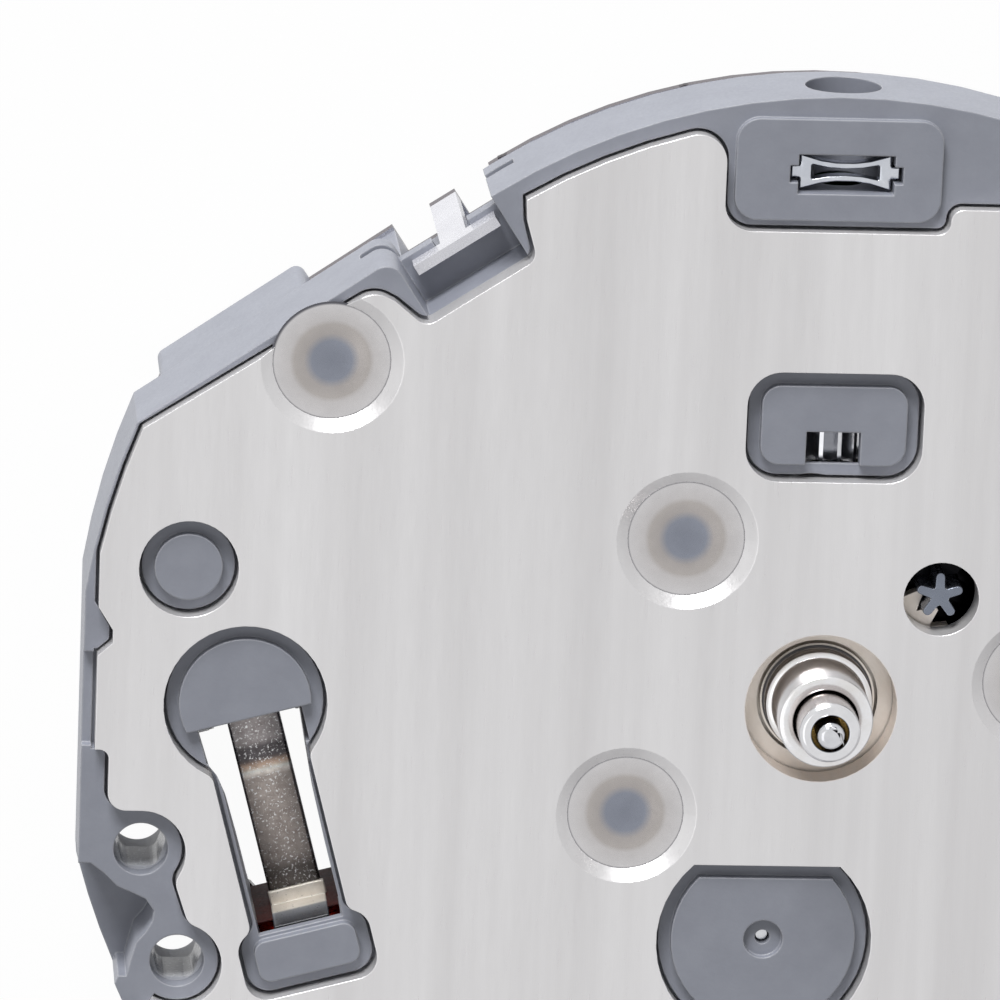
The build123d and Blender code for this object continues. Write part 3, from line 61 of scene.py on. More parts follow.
# Edges that turn by more degrees than this are rounded
ROUNDED_ANGLE = 35.0
# Points closer than these are merged, in millimetres: of a CAD mesh, and of a turned profile
MERGED = 0.0002
TURNED_MERGED = 0.00005

# Detail and roughness of the noises behind a finish's marks, patches and specks, the specks being painted
# glints
MARK_NOISE = (3.0, 0.6)
PATCH_NOISE = (4.0, 0.65)
SPECK_NOISE = (2.0, 0.7)
# The part of each noise's values that is used, whose mean is a half
MARK_SPAN = (0.3, 0.7)
PATCH_SPAN = (0.35, 0.65)
SPECK_SPAN = (0.57, 0.66)
SPECK_SIZE = 0.035
LEAST_ROUGHNESS = 0.02
# Cosine of the normal's turn at an edge, from where its painted highlight starts to where it is full
HIGHLIGHT_SPAN = (0.98, 0.75)
# How level a face is, from where it counts as a wall to where it counts as flat
METAL_SPAN = (0.4, 0.9)
COLOUR_SPAN = (0.5, 0.9)
# Facets round a hole, a screw's head or a turn of wire, and round the wire itself
ROUND = 40
WIRE_ROUND = 6
# Samples of the rounded normal, for the light on an edge and for its painted highlight
LIGHT_SAMPLES = 6
HIGHLIGHT_SAMPLES = 4

logging.basicConfig(level=logging.INFO, format="%(message)s")
log = logging.getLogger("movement")

Point = tuple[float, float]
Stop = tuple[float, str]
Tree = bpy.types.NodeTree
Socket = bpy.types.NodeSocket
Object = bpy.types.Object


def linear(colour: str) -> tuple[float, float, float, float]:
    """Turn an sRGB hex colour into linear light.

    Args:
        colour: Six hex digits after a hash.

    Returns:
        Red, green, blue and alpha, as a shader socket takes them.
    """
    parts = [int(colour[place : place + 2], 16) / 255 for place in (1, 3, 5)]
    values = [part / 12.92 if part <= 0.04045 else ((part + 0.055) / 1.055) ** 2.4 for part in parts]
    return (values[0], values[1], values[2], 1.0)


def add_node(tree: Tree, kind: str, inputs: dict | None = None, **settings: object) -> bpy.types.Node:
    """Add one node with its settings and inputs.

    Args:
        tree: The node tree that gets the node.
        kind: The node's type.
        inputs: Constant values, or the output sockets that feed them, by input name or number.
        settings: Attributes of the node itself.

    Returns:
        The new node.
    """
    node = tree.nodes.new(kind)
    for name, value in settings.items():
        setattr(node, name, value)
    for name, value in (inputs or {}).items():
        if isinstance(value, Socket):
            tree.links.new(value, node.inputs[name])
        else:
            node.inputs[name].default_value = value
    return node


def reckon(tree: Tree, operation: str, *terms: Socket | float) -> Socket:
    """Return the result of an operation on numbers."""
    return add_node(tree, "ShaderNodeMath", dict(enumerate(terms)), operation=operation).outputs[0]


def reckon_vector(tree: Tree, operation: str, *terms: Socket | Sequence[float]) -> Socket:
    """Return the result of an operation on vectors, which is a number for the two that measure."""
    node = add_node(tree, "ShaderNodeVectorMath", dict(enumerate(terms)), operation=operation)
    return node.outputs["Value" if operation in ("DISTANCE", "DOT_PRODUCT") else "Vector"]


def mapped(tree: Tree, value: Socket, source: Point, target: Point = (0.0, 1.0)) -> Socket:
    """Return a value carried from the source's span to the target's, and held inside it."""
    spans = {"From Min": source[0], "From Max": source[1], "To Min": target[0], "To Max": target[1]}
    return add_node(tree, "ShaderNodeMapRange", {"Value": value, **spans}).outputs[0]


def noise(tree: Tree, place: Socket, size: float, detail: float, roughness: float) -> Socket:
    """Return a noise whose features have a size in millimetres."""
    inputs = {"Vector": place, "Scale": 1 / (size * MM), "Detail": detail, "Roughness": roughness}
    return add_node(tree, "ShaderNodeTexNoise", inputs).outputs["Fac"]


def blended(
    tree: Tree,
    share: Socket,
    first: Socket | Sequence[float],
    second: Socket | Sequence[float],
    kind: str = "MIX",
) -> Socket:
    """Return the first colour where the share is 0, and its blend with the second where it is 1."""
    inputs = {0: share, 6: first, 7: second}
    return add_node(tree, "ShaderNodeMix", inputs, data_type="RGBA", blend_type=kind).outputs[2]


class Grain(enum.Enum):
    """The direction that a finish's marks run in."""

    EVEN = (1.0, 1.0, 1.0)
    ALONG_X = (0.04, 1.0, 1.0)
    ALONG_Y = (1.0, 0.04, 1.0)


@dataclass(frozen=True)
class Finish:
    """A surface finish, from its real material and the way that it was made.

    Attributes:
        name: The material's common name and how its surface was made.
        colour: The main colour.
        shade: What the colour is multiplied by in its darker patches.
        metallic: 1 for a bare metal.
        roughness: The middle roughness.
        spread: How far the roughness wanders either side of that.
        mottle: Size of the colour's patches, in millimetres.
        mottling: How strong the patches are.
        grain: Spacing of the fine surface marks, in millimetres.
        grain_height: Height of those marks, in millimetres.
        run: Which way the marks run.
        ior: Index of refraction, left at the default for a metal.
        coat: Weight of a clear coat.
        edge: How much paler an edge is painted, as a painted highlight.
        edge_width: How wide the rounded edge and its painted highlight are, in millimetres.
        speck: Share of bright specks, which are painted glints, from 0 to 1.
        upright: How metallic the upright walls look, where they differ from the flat faces.
    """

    name: str
    colour: str
    shade: str = "#E0E0E0"
    metallic: float = 0.0
    roughness: float = 0.4
    spread: float = 0.08
    mottle: float = 0.8
    mottling: float = 0.5
    grain: float = 0.03
    grain_height: float = 0.002
    run: Grain = Grain.EVEN
    ior: float = 1.5
    coat: float = 0.0
    edge: float = 0.0
    edge_width: float = 0.03
    speck: float = 0.0
    upright: float | None = None

    def material(self) -> bpy.types.Material:
        """Make this finish's material the first time that it is asked for.

        Returns:
            The material.
        """
        made = bpy.data.materials.get(self.name)
        if made is not None:
            return made
        made = bpy.data.materials.new(self.name)
        made.use_nodes = True
        self.lay(made.node_tree)
        return made

    def tint(self, tree: Tree, place: Socket) -> Socket | None:
        """Return a colour that changes over the piece with its coordinates, or None for an even one."""
        return None

    def lay(self, tree: Tree) -> None:
        """Lay the finish's nodes.

        Args:
            tree: The material's node tree.
        """
        tree.nodes.clear()
        place = add_node(tree, "ShaderNodeTexCoord").outputs["Object"]
        run = add_node(tree, "ShaderNodeMapping", {"Scale": self.run.value, "Vector": place}).outputs[0]
        marks = noise(tree, run, self.grain, *MARK_NOISE)
        patches = noise(tree, run, self.mottle, *PATCH_NOISE)
        depth = mapped(tree, patches, PATCH_SPAN, (0.0, self.mottling))
        tint = self.tint(tree, place)
        face = linear(self.colour) if tint is None else tint
        face = blended(tree, depth, face, linear(self.shade), "MULTIPLY")
        # Painted glints: small bright specks over the colour
        if self.speck > 0:
            face = self.painted_glints(tree, place, face)
        # Painted highlight: the colour is made paler along the edges
        if self.edge > 0:
            face = self.painted_edge_highlight(tree, face)
        span = (max(self.roughness - self.spread, LEAST_ROUGHNESS), self.roughness + self.spread)
        rough = mapped(tree, marks, MARK_SPAN, span)
        bump = add_node(
            tree, "ShaderNodeBump", {"Strength": 1.0, "Distance": self.grain_height * MM, "Height": marks}
        )
        if self.edge > 0:
            tree.links.new(self.rounded(tree, LIGHT_SAMPLES), bump.inputs["Normal"])
        metal = {"Metallic": self.metallic, "IOR": self.ior, "Coat Weight": self.coat}
        skin = {"Base Color": face, "Roughness": rough, "Normal": bump.outputs[0]}
        shader = add_node(tree, "ShaderNodeBsdfPrincipled", {**metal, **skin})
        if self.upright is not None:
            share = mapped(tree, flatness(tree), METAL_SPAN, (self.upright, self.metallic))
            tree.links.new(share, shader.inputs["Metallic"])
        add_node(tree, "ShaderNodeOutputMaterial", {"Surface": shader.outputs[0]})

    def rounded(self, tree: Tree, samples: int) -> Socket:
        """Return the normal as it is where the edges are rounded to the edge's width."""
        return add_node(tree, "ShaderNodeBevel", {"Radius": self.edge_width * MM}, samples=samples).outputs[0]

    def painted_glints(self, tree: Tree, place: Socket, face: Socket) -> Socket:
        """Return the colour with small bright specks scattered over it, as painted glints."""
        glint_noise = noise(tree, place, SPECK_SIZE, *SPECK_NOISE)
        return blended(tree, mapped(tree, glint_noise, SPECK_SPAN, (0.0, self.speck)), face, WHITE)

    def painted_edge_highlight(self, tree: Tree, face: Socket) -> Socket:
        """Paint highlights along the edges, by making the colour paler there.

        Args:
            tree: The material's node tree.
            face: The colour so far.

        Returns:
            The colour with its painted edge highlights.
        """
        flat = add_node(tree, "ShaderNodeNewGeometry").outputs["Normal"]
        turn = reckon_vector(tree, "DOT_PRODUCT", flat, self.rounded(tree, HIGHLIGHT_SAMPLES))
        return blended(tree, mapped(tree, turn, HIGHLIGHT_SPAN, (0.0, self.edge)), face, WHITE)


def flatness(tree: Tree) -> Socket:
    """Return a socket that is 1 on level faces and 0 on upright ones."""
    normal = add_node(tree, "ShaderNodeNewGeometry").outputs["True Normal"]
    return reckon(tree, "ABSOLUTE", add_node(tree, "ShaderNodeSeparateXYZ", {0: normal}).outputs["Z"])


def ramp(tree: Tree, value: Socket, stops: Sequence[Stop]) -> Socket:
    """Turn a length into a colour.

    Args:
        tree: The material's node tree.
        value: The length, in metres.
        stops: Colours by length in millimetres, in rising order.

    Returns:
        The colour.
    """
    low, high = stops[0][0], stops[-1][0]
    band = add_node(tree, "ShaderNodeValToRGB", {0: mapped(tree, value, (low * MM, high * MM))})
    elements = band.color_ramp.elements
    elements[0].color = linear(stops[0][1])
    elements[1].color = linear(stops[-1][1])
    for length, colour in stops[1:-1]:
        elements.new((length - low) / (high - low)).color = linear(colour)
    return band.outputs[0]


@dataclass(frozen=True)
class RingedFinish(Finish):
    """A finish whose colour changes in rings about turned centres.

    Attributes:
        centres: The centres' places.
        rings: Colours by radius, from the centre outwards.
    """

    centres: tuple[Point, ...] = ((0.0, 0.0),)
    rings: tuple[Stop, ...] = ()

    def tint(self, tree: Tree, place: Socket) -> Socket:
        """Colour the piece by the distance from the nearest centre.

        Args:
            tree: The material's node tree.
            place: The piece's own coordinates.

        Returns:
            The colour.
        """
        flat = reckon_vector(tree, "MULTIPLY", place, (1.0, 1.0, 0.0))
        nearest = None
        for x, y in self.centres:
            away = reckon_vector(tree, "DISTANCE", flat, (x * MM, y * MM, 0.0))
            nearest = away if nearest is None else reckon(tree, "MINIMUM", nearest, away)
        return ramp(tree, nearest, self.rings)


@dataclass(frozen=True)
class BandedFinish(Finish):
    """A finish whose colour changes along one direction.

    Attributes:
        start: Where the lengths are counted from.
        heading: The direction that they run in, of length one.
        bands: Colours by length along the direction.
    """

    start: tuple[float, float, float] = (0.0, 0.0, 0.0)
    heading: tuple[float, float, float] = (0.0, 0.0, 1.0)
    bands: tuple[Stop, ...] = ()

    def tint(self, tree: Tree, place: Socket) -> Socket:
        """Return the colour by the length along the direction."""
        offset = reckon_vector(tree, "SUBTRACT", place, tuple(part * MM for part in self.start))
        return ramp(tree, reckon_vector(tree, "DOT_PRODUCT", offset, self.heading), self.bands)


def spot(reach: float, bearing: float, start: Point = (0.0, 0.0)) -> Point:
    """Return the point at a reach and a bearing in degrees from start."""
    turn = math.radians(bearing)
    return (start[0] + reach * math.cos(turn), start[1] + reach * math.sin(turn))


def body_of(node: str) -> str:
    """Return the body that a CAD node rides on."""
    bodies = frame["record"]["behaviour"]["bodies"]
    return next(name for name, nodes in bodies.items() if node in nodes)


def settle(piece: Object, node: str, finish: Finish, replace: bool = True) -> Object:
    """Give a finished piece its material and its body.

    Args:
        piece: The piece, with its place in its mesh.
        node: The CAD node that it stands for or belongs to.
        finish: Its finish.
        replace: Whether it stands for the node.

    Returns:
        The piece.
    """
    piece.data.materials.clear()
    piece.data.materials.append(finish.material())
    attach(piece, body_of(node))
    if replace:
        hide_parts(node)
    log.info("%s: %d faces", piece.name, len(piece.data.polygons))
    return piece


def linked(name: str, data: bpy.types.ID) -> Object:
    """Put a mesh, a lamp or a camera in the scene.

    Args:
        name: The object's name.
        data: What it holds.

    Returns:
        The object.
    """
    made = bpy.data.objects.new(name, data)
    bpy.context.collection.objects.link(made)
    return made


def fixed(name: str, form: bmesh.types.BMesh) -> Object:
    """Turn a mesh form into an object as it is.

    Args:
        name: The object's name.
        form: The form, which is used up.

    Returns:
        The object.
    """
    mesh = bpy.data.meshes.new(name)
    form.to_mesh(mesh)
    form.free()
    return linked(name, mesh)


def stand(name: str, form: bmesh.types.BMesh, crease: float = CREASE) -> Object:
    """Turn a mesh form into an object with smooth faces and sharp edges.

    Args:
        name: The object's name.
        form: The form, which is used up.
        crease: Angle past which an edge stays sharp, in degrees.

    Returns:
        The object.
    """
    for face in form.faces:
        face.smooth = True
    for edge in form.edges:
        edge.smooth = edge.calc_face_angle(0.0) < math.radians(crease)
    return fixed(name, form)


def soften(piece: Object, width: float, steps: int = 2) -> None:
    """Round a piece's edges.

    Args:
        piece: The piece.
        width: Width of the rounding, in millimetres.
        steps: Facets across it.
    """
    edges = piece.modifiers.new("edges", "BEVEL")
    edges.width = width * MM
    edges.segments = steps
    edges.limit_method = "ANGLE"
    edges.angle_limit = math.radians(ROUNDED_ANGLE)
    edges.use_clamp_overlap = False
    edges.harden_normals = True
    edges.miter_outer = "MITER_ARC"


def merged(node: str) -> bmesh.types.BMesh:
    """Copy a CAD node's mesh and merge its doubled points.

    Args:
        node: The node.

    Returns:
        The copy, as a form.
    """
    form = bmesh.new()
    form.from_mesh(frame["nodes"][node].data)
    bmesh.ops.remove_doubles(form, verts=form.verts, dist=MERGED * MM)
    return form


def dressed(node: str, finish: Finish, width: float, steps: int = 2) -> Object:
    """Stand a copy with rounded edges in a CAD node's place.

    Args:
        node: The node.
        finish: The copy's finish.
        width: Width of the rounding, in millimetres.
        steps: Facets across it.

    Returns:
        The copy.
    """
    piece = stand(node + "_finished", merged(node))
    soften(piece, width, steps)
    return settle(piece, node, finish)


def carried(node: str, finish: Finish) -> Object:
    """Give a CAD node a finish and keep its shape.

    Args:
        node: The node.
        finish: Its finish.

    Returns:
        The node's object.
    """
    piece = frame["nodes"][node]
    piece.data.materials.clear()
    piece.data.materials.append(finish.material())
    log.info("%s: kept", node)
    return piece


def turned(name: str, profile: Sequence[Point], place: Point, steps: int = 72) -> Object:
    """Turn a closed profile about an upright axis.

    Args:
        name: The piece's name.
        profile: Radius and height of each point, from the bottom's middle to the top's.
        place: Where the axis stands.
        steps: Facets round it.

    Returns:
        The turned piece.
    """
    form = bmesh.new()
    loops: list[list[bmesh.types.BMVert]] = []
    for radius, level in profile:
        if radius == 0:
            loops.append([form.verts.new((place[0] * MM, place[1] * MM, level * MM))])
            continue
        corners = [spot(radius, 360 * step / steps, place) for step in range(steps)]
        loops.append([form.verts.new((x * MM, y * MM, level * MM)) for x, y in corners])
    for low, high in zip(loops, loops[1:]):
        for step in range(steps):
            corners = [low[step % len(low)], low[(step + 1) % len(low)]]
            corners += [high[(step + 1) % len(high)], high[step % len(high)]]
            form.faces.new(list(dict.fromkeys(corners)))
    bmesh.ops.remove_doubles(form, verts=form.verts, dist=TURNED_MERGED * MM)
    bmesh.ops.recalc_face_normals(form, faces=form.faces)
    return stand(name, form, TURNED_CREASE)


def prism(
    name: str, outline: Sequence[Point], low: float, high: float, drift: Point = (0.0, 0.0)
) -> Object:
    """Stand a prism on an outline.

    Args:
        name: The piece's name.
        outline: The outline at the high level.
        low: Its low level.
        high: Its high level.
        drift: How far the outline moves on its way down.

    Returns:
        The prism.
    """
    form = bmesh.new()
    top = form.faces.new([form.verts.new((x * MM, y * MM, high * MM)) for x, y in outline])
    down = bmesh.ops.extrude_face_region(form, geom=[top])["geom"]
    moved = [part for part in down if isinstance(part, bmesh.types.BMVert)]
    bmesh.ops.translate(form, verts=moved, vec=(drift[0] * MM, drift[1] * MM, (low - high) * MM))
    bmesh.ops.recalc_face_normals(form, faces=form.faces)
    return stand(name, form)


def carved(node: str, finish: Finish, cutters: Sequence[Object]) -> Object:
    """Stand a copy of a CAD node with material cut away in its place.

    Args:
        node: The node.
        finish: The copy's finish.
        cutters: What is cut away, which is used up.

    Returns:
        The copy.
    """
    raw = stand(node + "_raw", merged(node))
    for cutter in cutters:
        cut = raw.modifiers.new("cut", "BOOLEAN")
        cut.operation = "DIFFERENCE"
        cut.solver = "EXACT"
        cut.object = cutter
    reader = bpy.context.evaluated_depsgraph_get()
    mesh = bpy.data.meshes.new_from_object(raw.evaluated_get(reader))
    for spare in (raw, *cutters):
        bpy.data.objects.remove(spare)
    form = bmesh.new()
    form.from_mesh(mesh)
    piece = stand(node + "_carved", form)
    piece.modifiers.new("normals", "WEIGHTED_NORMAL").keep_sharp = True
    return settle(piece, node, finish)


def on_leg(along: float, side: float) -> Point:
    """Return the place of a point given along the core's leg and to its left, in millimetres."""
    return spot(side, LEG_BEARING + 90.0, spot(along, LEG_BEARING, LEG_START))


def leg_block(name: str, extent: Sequence[float]) -> Object:
    """Stand a block square to the core's leg.

    Args:
        name: The block's name.
        extent: Its ends along the leg, its right and left sides, and its low and high levels.

    Returns:
        The block.
    """
    start, end, right, left, low, high = extent
    corners = ((start, right), (end, right), (end, left), (start, left))
    return prism(name, [on_leg(*corner) for corner in corners], low, high)


def joined(name: str, pieces: Sequence[Object]) -> Object:
    """Join pieces into one.

    Args:
        name: The joined piece's name.
        pieces: The pieces, which are used up.

    Returns:
        The joined piece.
    """
    form = bmesh.new()
    for piece in pieces:
        form.from_mesh(piece.data)
        bpy.data.objects.remove(piece)
    return fixed(name, form)


def grown(
    name: str,
    tree: Tree,
    finish: Finish,
    places: Sequence[tuple[float, float, float]] = (),
    turn: Matrix | None = None,
) -> Object:
    """Run a geometry tree and keep its result as a plain mesh.

    Args:
        name: The piece's name.
        tree: The tree.
        finish: The finish that it gives its form.
        places: Points that the tree is given.
        turn: Where the result goes, in metres.

    Returns:
        The piece.
    """
    points = bpy.data.meshes.new(name + "_seed")
    points.from_pydata([[part * MM for part in place] for place in places], [], [])
    seed = linked(name + "_seed", points)
    grower = seed.modifiers.new("grow", "NODES")
    grower.node_group = tree
    for item in tree.interface.items_tree:
        if item.in_out == "INPUT" and item.name == "Material":
            grower[item.identifier] = finish.material()
    reader = bpy.context.evaluated_depsgraph_get()
    mesh = bpy.data.meshes.new_from_object(seed.evaluated_get(reader))
    bpy.data.objects.remove(seed)
    if turn is not None:
        mesh.transform(turn)
    mesh.name = name
    return linked(name, mesh)


def new_tree(name: str, sizes: dict[str, float]) -> tuple[Tree, dict[str, Socket]]:
    """Start a geometry tree with named inputs for its sizes.

    Args:
        name: The tree's name.
        sizes: The size that each input stands for, by its name.

    Returns:
        The tree, and its inputs' sockets by their names.
    """
    tree = bpy.data.node_groups.new(name, "GeometryNodeTree")
    tree.interface.new_socket("Geometry", in_out="INPUT", socket_type="NodeSocketGeometry")
    for label, size in sizes.items():
        tree.interface.new_socket(label, in_out="INPUT", socket_type="NodeSocketFloat").default_value = size
    tree.interface.new_socket("Material", in_out="INPUT", socket_type="NodeSocketMaterial")
    tree.interface.new_socket("Geometry", in_out="OUTPUT", socket_type="NodeSocketGeometry")
    return tree, dict(add_node(tree, "NodeGroupInput").outputs.items())


def circle(tree: Tree, points: int, radius: Socket) -> Socket:
    """Return a circle with a number of points."""
    inputs = {"Resolution": points, "Radius": radius}
    return add_node(tree, "GeometryNodeCurvePrimitiveCircle", inputs).outputs[0]


def lowered(tree: Tree, form: Socket, height: Socket, share: float) -> Socket:
    """Return a form moved down by a share of a height."""
    drop = add_node(tree, "ShaderNodeCombineXYZ", {"Z": reckon(tree, "MULTIPLY", height, -share)}).outputs[0]
    return add_node(tree, "GeometryNodeTransform", {"Geometry": form, "Translation": drop}).outputs[0]


def placed(tree: Tree, sizes: dict[str, Socket], form: Socket) -> Socket:
    """Return a form stood on each of the tree's points."""
    inputs = {"Points": sizes["Geometry"], "Instance": form}
    return add_node(tree, "GeometryNodeInstanceOnPoints", inputs).outputs[0]


def end_tree(tree: Tree, sizes: dict[str, Socket], form: Socket) -> None:
    """End a geometry tree with its instances made real and its material set.

    Args:
        tree: The tree.
        sizes: Its inputs' sockets.
        form: The geometry to give out.
    """
    real = add_node(tree, "GeometryNodeRealizeInstances", {0: form})
    inputs = {"Geometry": real.outputs[0], "Material": sizes["Material"]}
    add_node(tree, "NodeGroupOutput", {0: add_node(tree, "GeometryNodeSetMaterial", inputs).outputs[0]})


@dataclass(frozen=True)
class SidedFinish(Finish):
    """A finish whose upright edges are painted another colour than its rolled faces, as painted shade.

    Attributes:
        side: Colour of the upright edges, a painted shade.
        top: Level above which the walls are rolled faces too, in millimetres.
    """

    side: str = "#404040"
    top: float = 10.0

    def tint(self, tree: Tree, place: Socket) -> Socket:
        """Colour the piece by how upright its surface stands, with painted shade on the walls below the top.

        Args:
            tree: The material's node tree.
            place: The piece's own coordinates.

        Returns:
            The colour.
        """
        height = add_node(tree, "ShaderNodeSeparateXYZ", {0: place}).outputs["Z"]
        # Walls below the top get the side colour: painted shade
        above = reckon(tree, "GREATER_THAN", height, self.top * MM)
        share = reckon(tree, "MAXIMUM", mapped(tree, flatness(tree), COLOUR_SPAN), above)
        return blended(tree, share, linear(self.side), linear(self.colour))


PILLARS: tuple[Point, ...] = (spot(2.70, 129.6), spot(2.70, 211.0), spot(2.70, 7.5), spot(7.385, 145.3))
LEG_START: Point = (-6.805, -0.70)
LEG_BEARING = -75.0
LEG_HEADING = (math.cos(math.radians(LEG_BEARING)), math.sin(math.radians(LEG_BEARING)), 0.0)

# The numbers after the three colours are: metallic, roughness, spread, mottle, mottling, grain and
# grain height.

# Brass sheet, nickel plated and brushed one way: soft silver with faint upright streaks and painted
# highlights on its edges, and a painted reflection of the hour wheel's brass, peach on the wall of the middle
# hole
SATIN_NICKEL = RingedFinish(
    "satin_nickel_plate", "#D3D2D3", "#E6E5E5", 1.0, 0.34, 0.07, 1.2, 0.6, 0.02, 0.0008, Grain.ALONG_Y,
    edge=0.35, edge_width=0.02, upright=0.5,
    rings=((0.0, "#F2D2AE"), (0.926, "#F2D2AE"), (0.932, "#D3D2D3"), (12.0, "#D3D2D3")),
)
# The same plating on the bridge, which has no bare hole
PLATED_BRIDGE = Finish(
    "nickel_plated_bridge", "#D3D2D0", "#E6E4E0", 1.0, 0.34, 0.07, 1.2, 0.6, 0.02, 0.0008, Grain.ALONG_X
)
# Glass-filled resin, moulded: an even mid grey with a dry sheen, and painted highlights on its edges
MOULDED_RESIN = Finish(
    "moulded_grey_resin", "#898C96", "#E8E8EA", 0.0, 0.42, 0.06, 0.5, 0.5, 0.04, 0.002, ior=1.58, edge=0.25
)
# The same resin where the pins of the mould polished it, painted paler: painted light on the grips in the
# dial-foot holes
PALE_RESIN = Finish(
    "polished_grey_resin", "#B4B6BB", "#ECECEE", 0.0, 0.25, 0.05, 0.4, 0.4, 0.05, 0.001, ior=1.58
)
# Steel, turned and polished: near mirror with turning rings too fine to see
POLISHED_STEEL = Finish("polished_steel", "#D0D1D4", "#DCDCE0", 1.0, 0.16, 0.05, 0.3, 0.4, 0.02, 0.0004)
# Steel tube, drawn and polished: painted shade inside its bore, a light lip
POLISHED_TUBE = RingedFinish(
    "polished_steel_tube", "#D4D4D6", "#E0E0E2", 1.0, 0.14, 0.05, 0.3, 0.3, 0.02, 0.0004,
    rings=(
        (0.0, "#2C2A2A"), (0.222, "#2C2A2A"), (0.24, "#DADADC"), (0.37, "#DADADC"), (0.378, "#B2A49C"),
        (1.0, "#B2A49C"),
    ),
)
# Steel, turned: the heads are dished in the press, with a painted reflection in rings round each one: grey at
# the bottom, bright outside and a dark ring at the rim
DISHED_STEEL = RingedFinish(
    "dished_pillar_steel", "#D2D2D4", "#EAEAEA", 1.0, 0.24, 0.06, 0.3, 0.4, 0.03, 0.0005,
    centres=PILLARS,
    rings=(
        (0.0, "#7E828D"), (0.24, "#868A95"), (0.335, "#A5A09E"), (0.45, "#ACA7A4"),
        (0.51, "#BDBABA"), (0.69, "#C6C4C5"), (0.715, "#5C5C62"), (0.75, "#5C5C62"),
    ),
)
# The hour wheel's web: thinly plated brass with a dry sheen, and painted highlights on its edges
THIN_PLATED_BRASS = Finish(
    "thin_nickel_plated_brass", "#EEE6DE", "#E8E2D8", 0.45, 0.34, 0.06, 0.4, 0.4, 0.02, 0.0008,
    edge=0.3, edge_width=0.012,
)
# Pinion steel, hardened and polished: blue grey with painted highlights on its edges
PINION_STEEL = Finish(
    "polished_pinion_steel", "#7A808C", "#DCDCE0", 0.8, 0.26, 0.05, 0.3, 0.4, 0.02, 0.0004,
    edge=0.5, edge_width=0.014,
)
# Brass wheel and tube, turned and nickel plated: a light lip, beige where the plating is thin, painted shade
# in the bore, and a ring of painted shade on the flange at the foot of the hub's wall
PLATED_BRASS = RingedFinish(
    "nickel_plated_brass", "#D8D2C8", "#E8E2D8", 1.0, 0.2, 0.06, 0.4, 0.4, 0.02, 0.0006,
    rings=(
        (0.0, "#2A2220"), (0.39, "#2E2624"), (0.405, "#DCDCDE"), (0.60, "#E2E2E4"), (0.62, "#D8D6D6"),
        (0.652, "#D8D6D6"), (0.657, "#3E3C40"), (0.672, "#3E3C40"), (0.68, "#CFC8C0"), (2.0, "#EAE2D4"),
    ),
)
# Brass, stamped: yellow with a fine grain
STAMPED_BRASS = Finish("stamped_brass", "#D9B46A", "#E6D6B8", 1.0, 0.28, 0.06, 0.4, 0.5, 0.02, 0.0008)
# Steel wheel, blackened and glossy, whose pinion is left bright above the disc
BLACKENED_STEEL = BandedFinish(
    "blackened_steel", "#9AA2AE", "#DCDCE0", 1.0, 0.22, 0.05, 0.3, 0.4, 0.02, 0.0004,
    bands=((-2.0, "#121214"), (-0.66, "#121214"), (-0.60, "#98A0AD"), (0.0, "#A8B0BC")),
)
# Nickel-iron, annealed and left bare, a dull brown grey, here painted much paler than the stator's same metal
# as painted light down the well where the leg lies, with painted glints as bright specks. The bands run along
# the leg
# and are painted light and shade: from its root through a painted shadow and the painted highlight where the
# bend catches the light to painted shade under the window's lip
ANNEALED_LEG = BandedFinish(
    "annealed_nickel_iron_leg", "#F0E8E4", "#D8D4D2", 1.0, 0.46, 0.1, 0.07, 0.9, 0.02, 0.002, speck=0.9,
    start=(LEG_START[0], LEG_START[1], 0.0), heading=LEG_HEADING,
    bands=(
        (-1.4, "#AEA8A8"), (0.33, "#AEA8A8"), (0.40, "#6E6A6C"), (0.56, "#6E6A6C"), (0.63, "#D8BCA8"),
        (0.67, "#E8D8C8"), (0.70, "#FFFFF8"), (0.74, "#FFF8F0"), (0.80, "#C0B6B0"), (1.85, "#B6ACA6"),
        (2.02, "#7E7874"), (2.20, "#7E7874"), (2.5, "#8A8480"), (7.0, "#8D867D"),
    ),
)
# The same metal, flat and in shade
ANNEALED_IRON = Finish("annealed_nickel_iron", "#8E867E", "#C8C4C0", 1.0, 0.5, 0.12, 0.08, 0.8, 0.02, 0.002)
# Copper wire, enamelled: glossy and deep red, with painted shade on the turns at the coil's end
ENAMELLED_COPPER = BandedFinish(
    "enamelled_copper_wire", "#7A1808", "#B87060", 0.2, 0.3, 0.05, 0.2, 0.5, 0.03, 0.0005, coat=0.25,
    start=(LEG_START[0], LEG_START[1], 0.0), heading=LEG_HEADING,
    bands=((0.0, "#241210"), (2.455, "#241210"), (2.475, "#B4240C"), (7.0, "#8A1C0A")),
)
# The same enamel at the ends of the wire's layers, painted dark: painted shade, where no light gets between
# them
SHADED_ENAMEL = Finish("enamelled_copper_layers_painted_shade", "#4A120C", "#907068", 0.0, 0.7, 0.1, 0.1, 0.8, 0.03, 0.002)
# Acetal, moulded: milky white, slightly waxy
ACETAL = Finish("moulded_acetal", "#E6E3DA", "#F0EEE8", 0.0, 0.36, 0.05, 0.6, 0.4, 0.05, 0.001, ior=1.48)
# Epoxy resin with carbon black, moulded over the chip: matt
BLACK_RESIN = Finish(
    "black_epoxy_resin", "#1E1E20", "#C8C8C8", 0.0, 0.5, 0.06, 0.3, 0.5, 0.03, 0.002, ior=1.55
)
# Glass fibre in epoxy under a green mask: satin
FIBRE_BOARD = Finish(
    "glass_fibre_board", "#2F6B3F", "#D0D8D0", 0.0, 0.38, 0.06, 0.3, 0.5, 0.05, 0.001, ior=1.55, coat=0.3
)
